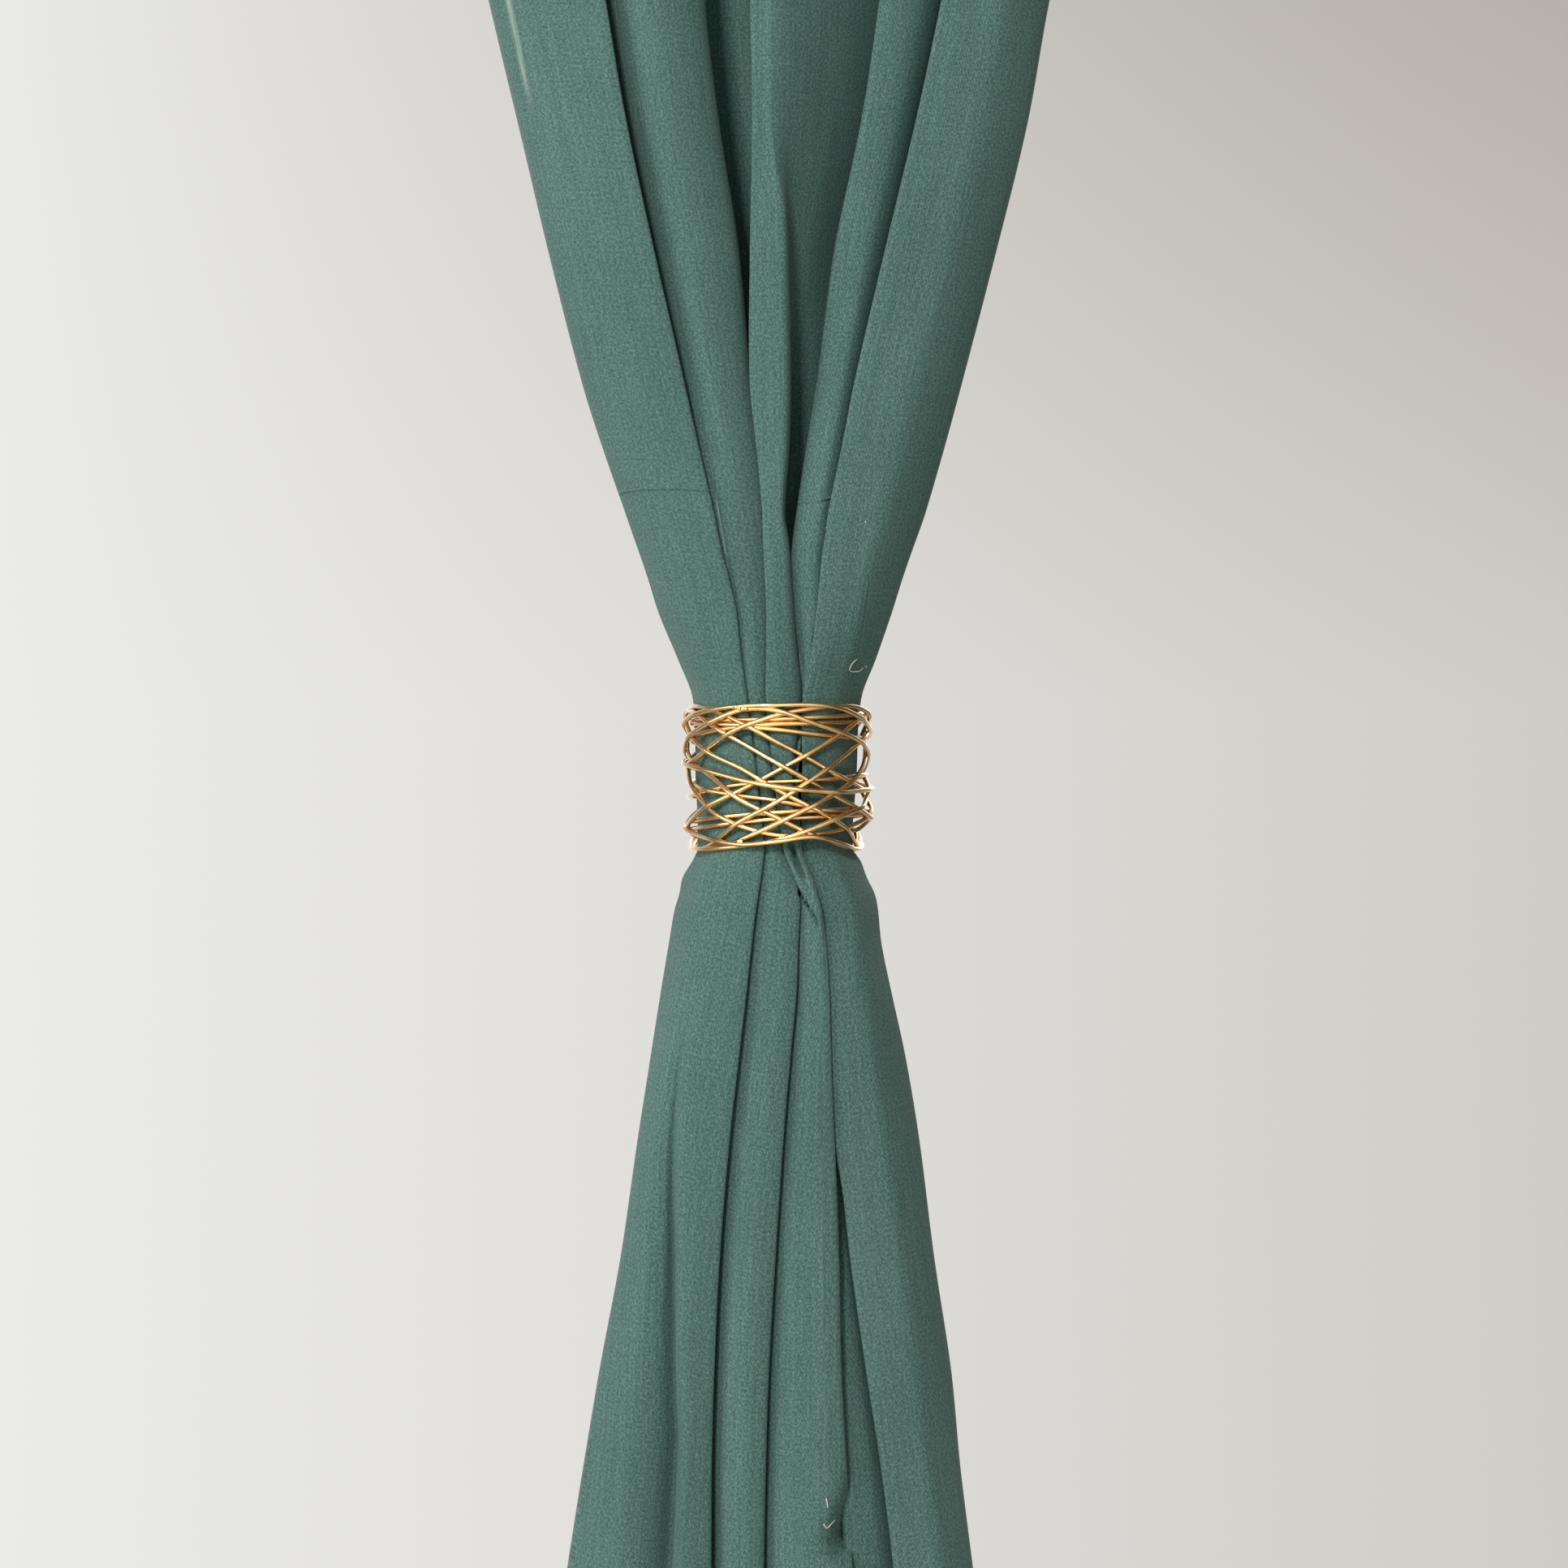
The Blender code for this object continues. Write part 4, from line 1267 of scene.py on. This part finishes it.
    @staticmethod
    def from_axis(angle: float) -> Vector:
        """Returns the level direction from the ring's axis at an angle from its front."""
        return Vector((math.sin(angle), -math.cos(angle), 0.0))

    def build(self, finish: bpy.types.Material) -> bpy.types.Object:
        """Builds the wound wire and its solder as one object."""
        bm = bmesh.new()
        wound = self.wound()
        outs = [self.from_axis(angle) for angle in self.angles()]
        for radii, heights in wound:
            path = [
                out * float(radius) + Vector((0, 0, float(height) - RING_DROP))
                for out, radius, height in zip(outs, radii, heights)
            ]
            sweep(bm, frames_along(path, outs, True), self.wire, self.sides, True)
        for degrees, height in self.SOLDER:
            step = round((degrees / 360 + 0.5) * self.steps) % self.steps
            near = [float(r[step]) for r, z in wound if abs(z[step] - height * MM) < 2 * self.wire]
            outermost = max(near, default=self.inner)
            self.add_solder(bm, math.radians(degrees), outermost, height * MM - RING_DROP)
        return place_mesh("wound_wire_ring", bm, finish)

    def add_solder(self, bm: bmesh.types.BMesh, angle: float, radius: float, height: float) -> None:
        """Adds one small uneven drop of solder between two turns.

        Args:
            bm: Where it is built.
            angle: From the ring's front, to the right, in radians.
            radius: From the ring's axis.
            height: In the part's own frame.
        """
        turn = Matrix.Rotation(angle, 4, "Z")
        place = Matrix.Translation(self.from_axis(angle) * radius + Vector((0, 0, height)))
        matrix = place @ turn @ Matrix.Diagonal((self.drop_stretch, 1.0, 1.0, 1.0))
        size = self.wire * self.drop_size
        drop = bmesh.ops.create_icosphere(bm, subdivisions=3, radius=size, matrix=matrix)
        for vert in drop["verts"]:
            lump = self.drop_uneven * noise.noise(vert.co * self.drop_scale)
            vert.co += (vert.co - place.translation) * lump


@dataclass
class LooseThreads:
    """Bits of thread that cling to the cloth, as (x, height) points in millimetres."""

    radius: float = 0.00020
    lift: float = 1.2  # from the cloth to the thread's middle, in radii
    before: float = 0.2  # distance in front of the curtain's middle from which the cloth is looked for

    PATHS = (
        ((24.4, 35.6), (22.9, 34.2), (22.2, 32.6), (22.6, 31.9), (24.0, 31.9), (25.4, 32.2), (26.4, 33.2)),
        ((27.2, 33.9), (27.6, 33.4)),
        ((26.6, 77.0), (27.1, 76.5)),
        ((14.9, -216.9), (15.3, -218.6), (15.4, -219.8)),
        ((14.2, -224.8), (14.7, -225.8), (15.2, -226.2), (16.4, -225.2), (17.6, -224.2)),
    )

    def build(self, cloth: bpy.types.Object, finish: bpy.types.Material) -> bpy.types.Object:
        """Lays the threads on the front of the cloth.

        Args:
            cloth: What they lie on.
            finish: Their material.

        Returns:
            The threads as one object.
        """
        tree = BVHTree.FromObject(cloth, bpy.context.evaluated_depsgraph_get())
        toward = Vector((0.0, 1.0, 0.0))
        bm = bmesh.new()
        for path in self.PATHS:
            steps = [2] * (len(path) - 1)
            laid = []
            for x, height in smooth_line(path, steps):
                start = Vector((x * MM, -self.before, height * MM - RING_DROP))
                hit = tree.ray_cast(start, toward)[0]
                if hit is not None:
                    laid.append(hit - toward * self.radius * self.lift)
            if len(laid) > 1:
                frames = frames_along(laid, [toward] * len(laid), False)
                sweep(bm, frames, self.radius, THREAD_SIDES, False)
        return place_mesh("loose_threads", bm, finish)


@dataclass
class Studio:
    """The floor, the light and the camera."""

    lens: float = 85.0  # in millimetres, as the sensor is
    sensor: float = 36.0
    view_width: float = 0.483  # metres of the ring's plane across the picture
    aim: tuple[float, float] = (0.00225, -0.37225)  # x and z of the picture's middle
    floor_radius: float = 0.80
    floor_thickness: float = 0.02
    floor_rim: float = 0.3  # how far its edge is eased, as a share of its thickness
    floor_drop: float = 0.045  # from the hem down to the floor
    ambient: float = 0.40  # strength of the room's light on matt surfaces
    reflected_front: float = 3.30  # strength, in reflections, of what is before the curtain
    reflected_back: float = 1.30  # of the wall behind it
    reflected_sides: float = 0.24  # and of what is at its sides, over it and under it

    def add_floor(self) -> None:
        """Adds a round pale floor below the hem, with an eased edge."""
        t = NodeTree.named("matt_studio_floor")
        place = t.node("ShaderNodeTexCoord").outputs["Object"]
        speck = t.noise(place, scale=900.0, Detail=2.0)
        colour = t.blend(speck, linear("#DAD9D5"), linear("#E2E1DD"))
        bm = bmesh.new()
        middle = -DROP - self.floor_drop - self.floor_thickness / 2
        bmesh.ops.create_cone(
            bm,
            cap_ends=True,
            segments=128,
            radius1=self.floor_radius,
            radius2=self.floor_radius,
            depth=self.floor_thickness,
            matrix=Matrix.Translation((0, 0, middle)),
        )
        rims = [edge for edge in bm.edges if len(edge.link_faces) == 2 and edge.calc_face_angle() > 1]
        eased = self.floor_thickness * self.floor_rim
        bmesh.ops.bevel(bm, geom=rims, offset=eased, segments=4, profile=0.5, affect="EDGES", material=-1)
        place_mesh("floor", bm, t.finish(Base_Color=colour, Roughness=0.9))

    def add_light(self, name: str, place: Sequence[float], size: float, power: float, colour: str) -> None:
        """Adds one soft square light that faces the ring."""
        data = bpy.data.lights.new(name, "AREA")
        data.size = size
        data.energy = power
        data.color = linear(colour)[:3]
        lamp = bpy.data.objects.new(name, data)
        lamp.location = place
        target = Vector((0.0, 0.0, -RING_DROP))
        lamp.rotation_euler = (target - Vector(place)).to_track_quat("-Z", "Y").to_euler()
        bpy.context.scene.collection.objects.link(lamp)

    def add_lights(self) -> None:
        """Lights the curtain softly from the front, more from the left than from the right."""
        self.add_light("front_light", (-0.55, -2.0, 0.85), 0.35, 27.0, "#FFFBF5")
        self.add_light("left_light", (-2.2, -1.1, 0.0), 1.5, 19.8, "#FFFDFB")
        self.add_light("back_light", (0.6, 2.2, 0.5), 1.6, 10.0, "#FFFFFF")

    def add_world(self) -> None:
        """Surrounds the scene with a pale room, brightest on the left, behind a pale backdrop with painted
        light on it: lighter on the left, darker to the right, with a painted shadow at its upper right.
        """
        world = bpy.data.worlds.new("pale_studio")
        bpy.context.scene.world = world
        t = NodeTree(world)
        direction = t.node("ShaderNodeTexCoord").outputs["Generated"]
        parts = t.node("ShaderNodeSeparateXYZ", in0=direction).outputs
        across = t.ranged(parts["X"], From_Min=-0.22, From_Max=0.22)
        painted_shadow_height = t.ranged(parts["Z"], From_Min=0.02, From_Max=0.26)
        # painted light on the backdrop: lighter on the left and darker to the right, as the light falls off
        wall = t.blend(across, linear("#ECECEB"), linear("#CFCBC5"))
        # painted shadow: the backdrop's upper right is darkened
        wall = t.blend(t.math("MULTIPLY", across, painted_shadow_height), wall, linear("#ACA79D"))
        # the backdrop that the camera sees, with this painted light and shadow in its colour
        painted_light_backdrop = t.node("ShaderNodeBackground", Color=wall).outputs[0]
        sideways = t.ranged(parts["X"], From_Min=-0.8, From_Max=0.8)
        room = t.blend(sideways, linear("#FFFFFF"), linear("#B4B1AB"))
        sides, front = self.reflected_sides, self.reflected_front
        before = t.ranged(parts["Y"], From_Min=-0.30, From_Max=-0.95, To_Min=sides, To_Max=front)
        behind = t.ranged(parts["Y"], From_Min=0.30, From_Max=0.95, To_Max=self.reflected_back - sides)
        mirrored = t.math("ADD", before, behind)
        ray = t.node("ShaderNodeLightPath").outputs
        strength = t.node(
            "ShaderNodeMix", in0=ray["Is Glossy Ray"], in2=self.ambient, in3=mirrored
        ).outputs[0]
        around = t.node("ShaderNodeBackground", Color=room, Strength=strength).outputs[0]
        chosen = t.node("ShaderNodeMixShader", in0=ray["Is Camera Ray"], in1=around, in2=painted_light_backdrop)
        t.node("ShaderNodeOutputWorld", Surface=chosen.outputs[0])

    def add_camera(self) -> None:
        """Adds a level camera at the ring's height, straight in front of it."""
        data = bpy.data.cameras.new("camera")
        data.lens = self.lens
        data.sensor_width = self.sensor
        distance = self.view_width * self.lens / self.sensor
        camera = bpy.data.objects.new("camera", data)
        camera.location = (self.aim[0], -distance, self.aim[1])
        camera.rotation_euler = (math.radians(90), 0.0, 0.0)
        bpy.context.scene.collection.objects.link(camera)
        bpy.context.scene.camera = camera

    def build(self) -> None:
        """Sets the whole studio up."""
        view = bpy.context.scene.view_settings
        view.view_transform = "Standard"
        view.look = "None"
        self.add_camera()
        self.add_world()
        self.add_lights()
        self.add_floor()


def report(pieces: Iterable[bpy.types.Object]) -> None:
    """Logs each piece's size and number of faces."""
    for piece in pieces:
        sizes = " x ".join(f"{size / MM:.1f}" for size in piece.dimensions)
        LOG.info("%s: %s mm, %d faces", piece.name, sizes, len(piece.data.polygons))


def main() -> None:
    """Builds the studio, then the curtain, its ring and the threads on it."""
    logging.basicConfig(level=logging.INFO, format="%(message)s")
    Studio().build()
    cotton = CottonTwill().material()
    brass = BrassWire().material()
    sewing = SpunThread("green_sewing_thread", "#5A7A70", "#3C574F").material()
    lint = SpunThread("undyed_cotton_thread", "#F2F3EE", "#C9CEC7").material()

    curtain = Curtain(Drape())
    cloth = curtain.build_cloth(cotton)
    stitches = curtain.build_stitches(sewing)
    ring = WireRing().build(brass)
    threads = LooseThreads().build(cloth, lint)

    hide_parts("curtain")
    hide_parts("wire_ring")
    for piece in (cloth, stitches, threads, ring):
        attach(piece, BODY)
    report((cloth, stitches, ring, threads))


if __name__ == "__main__":
    main()
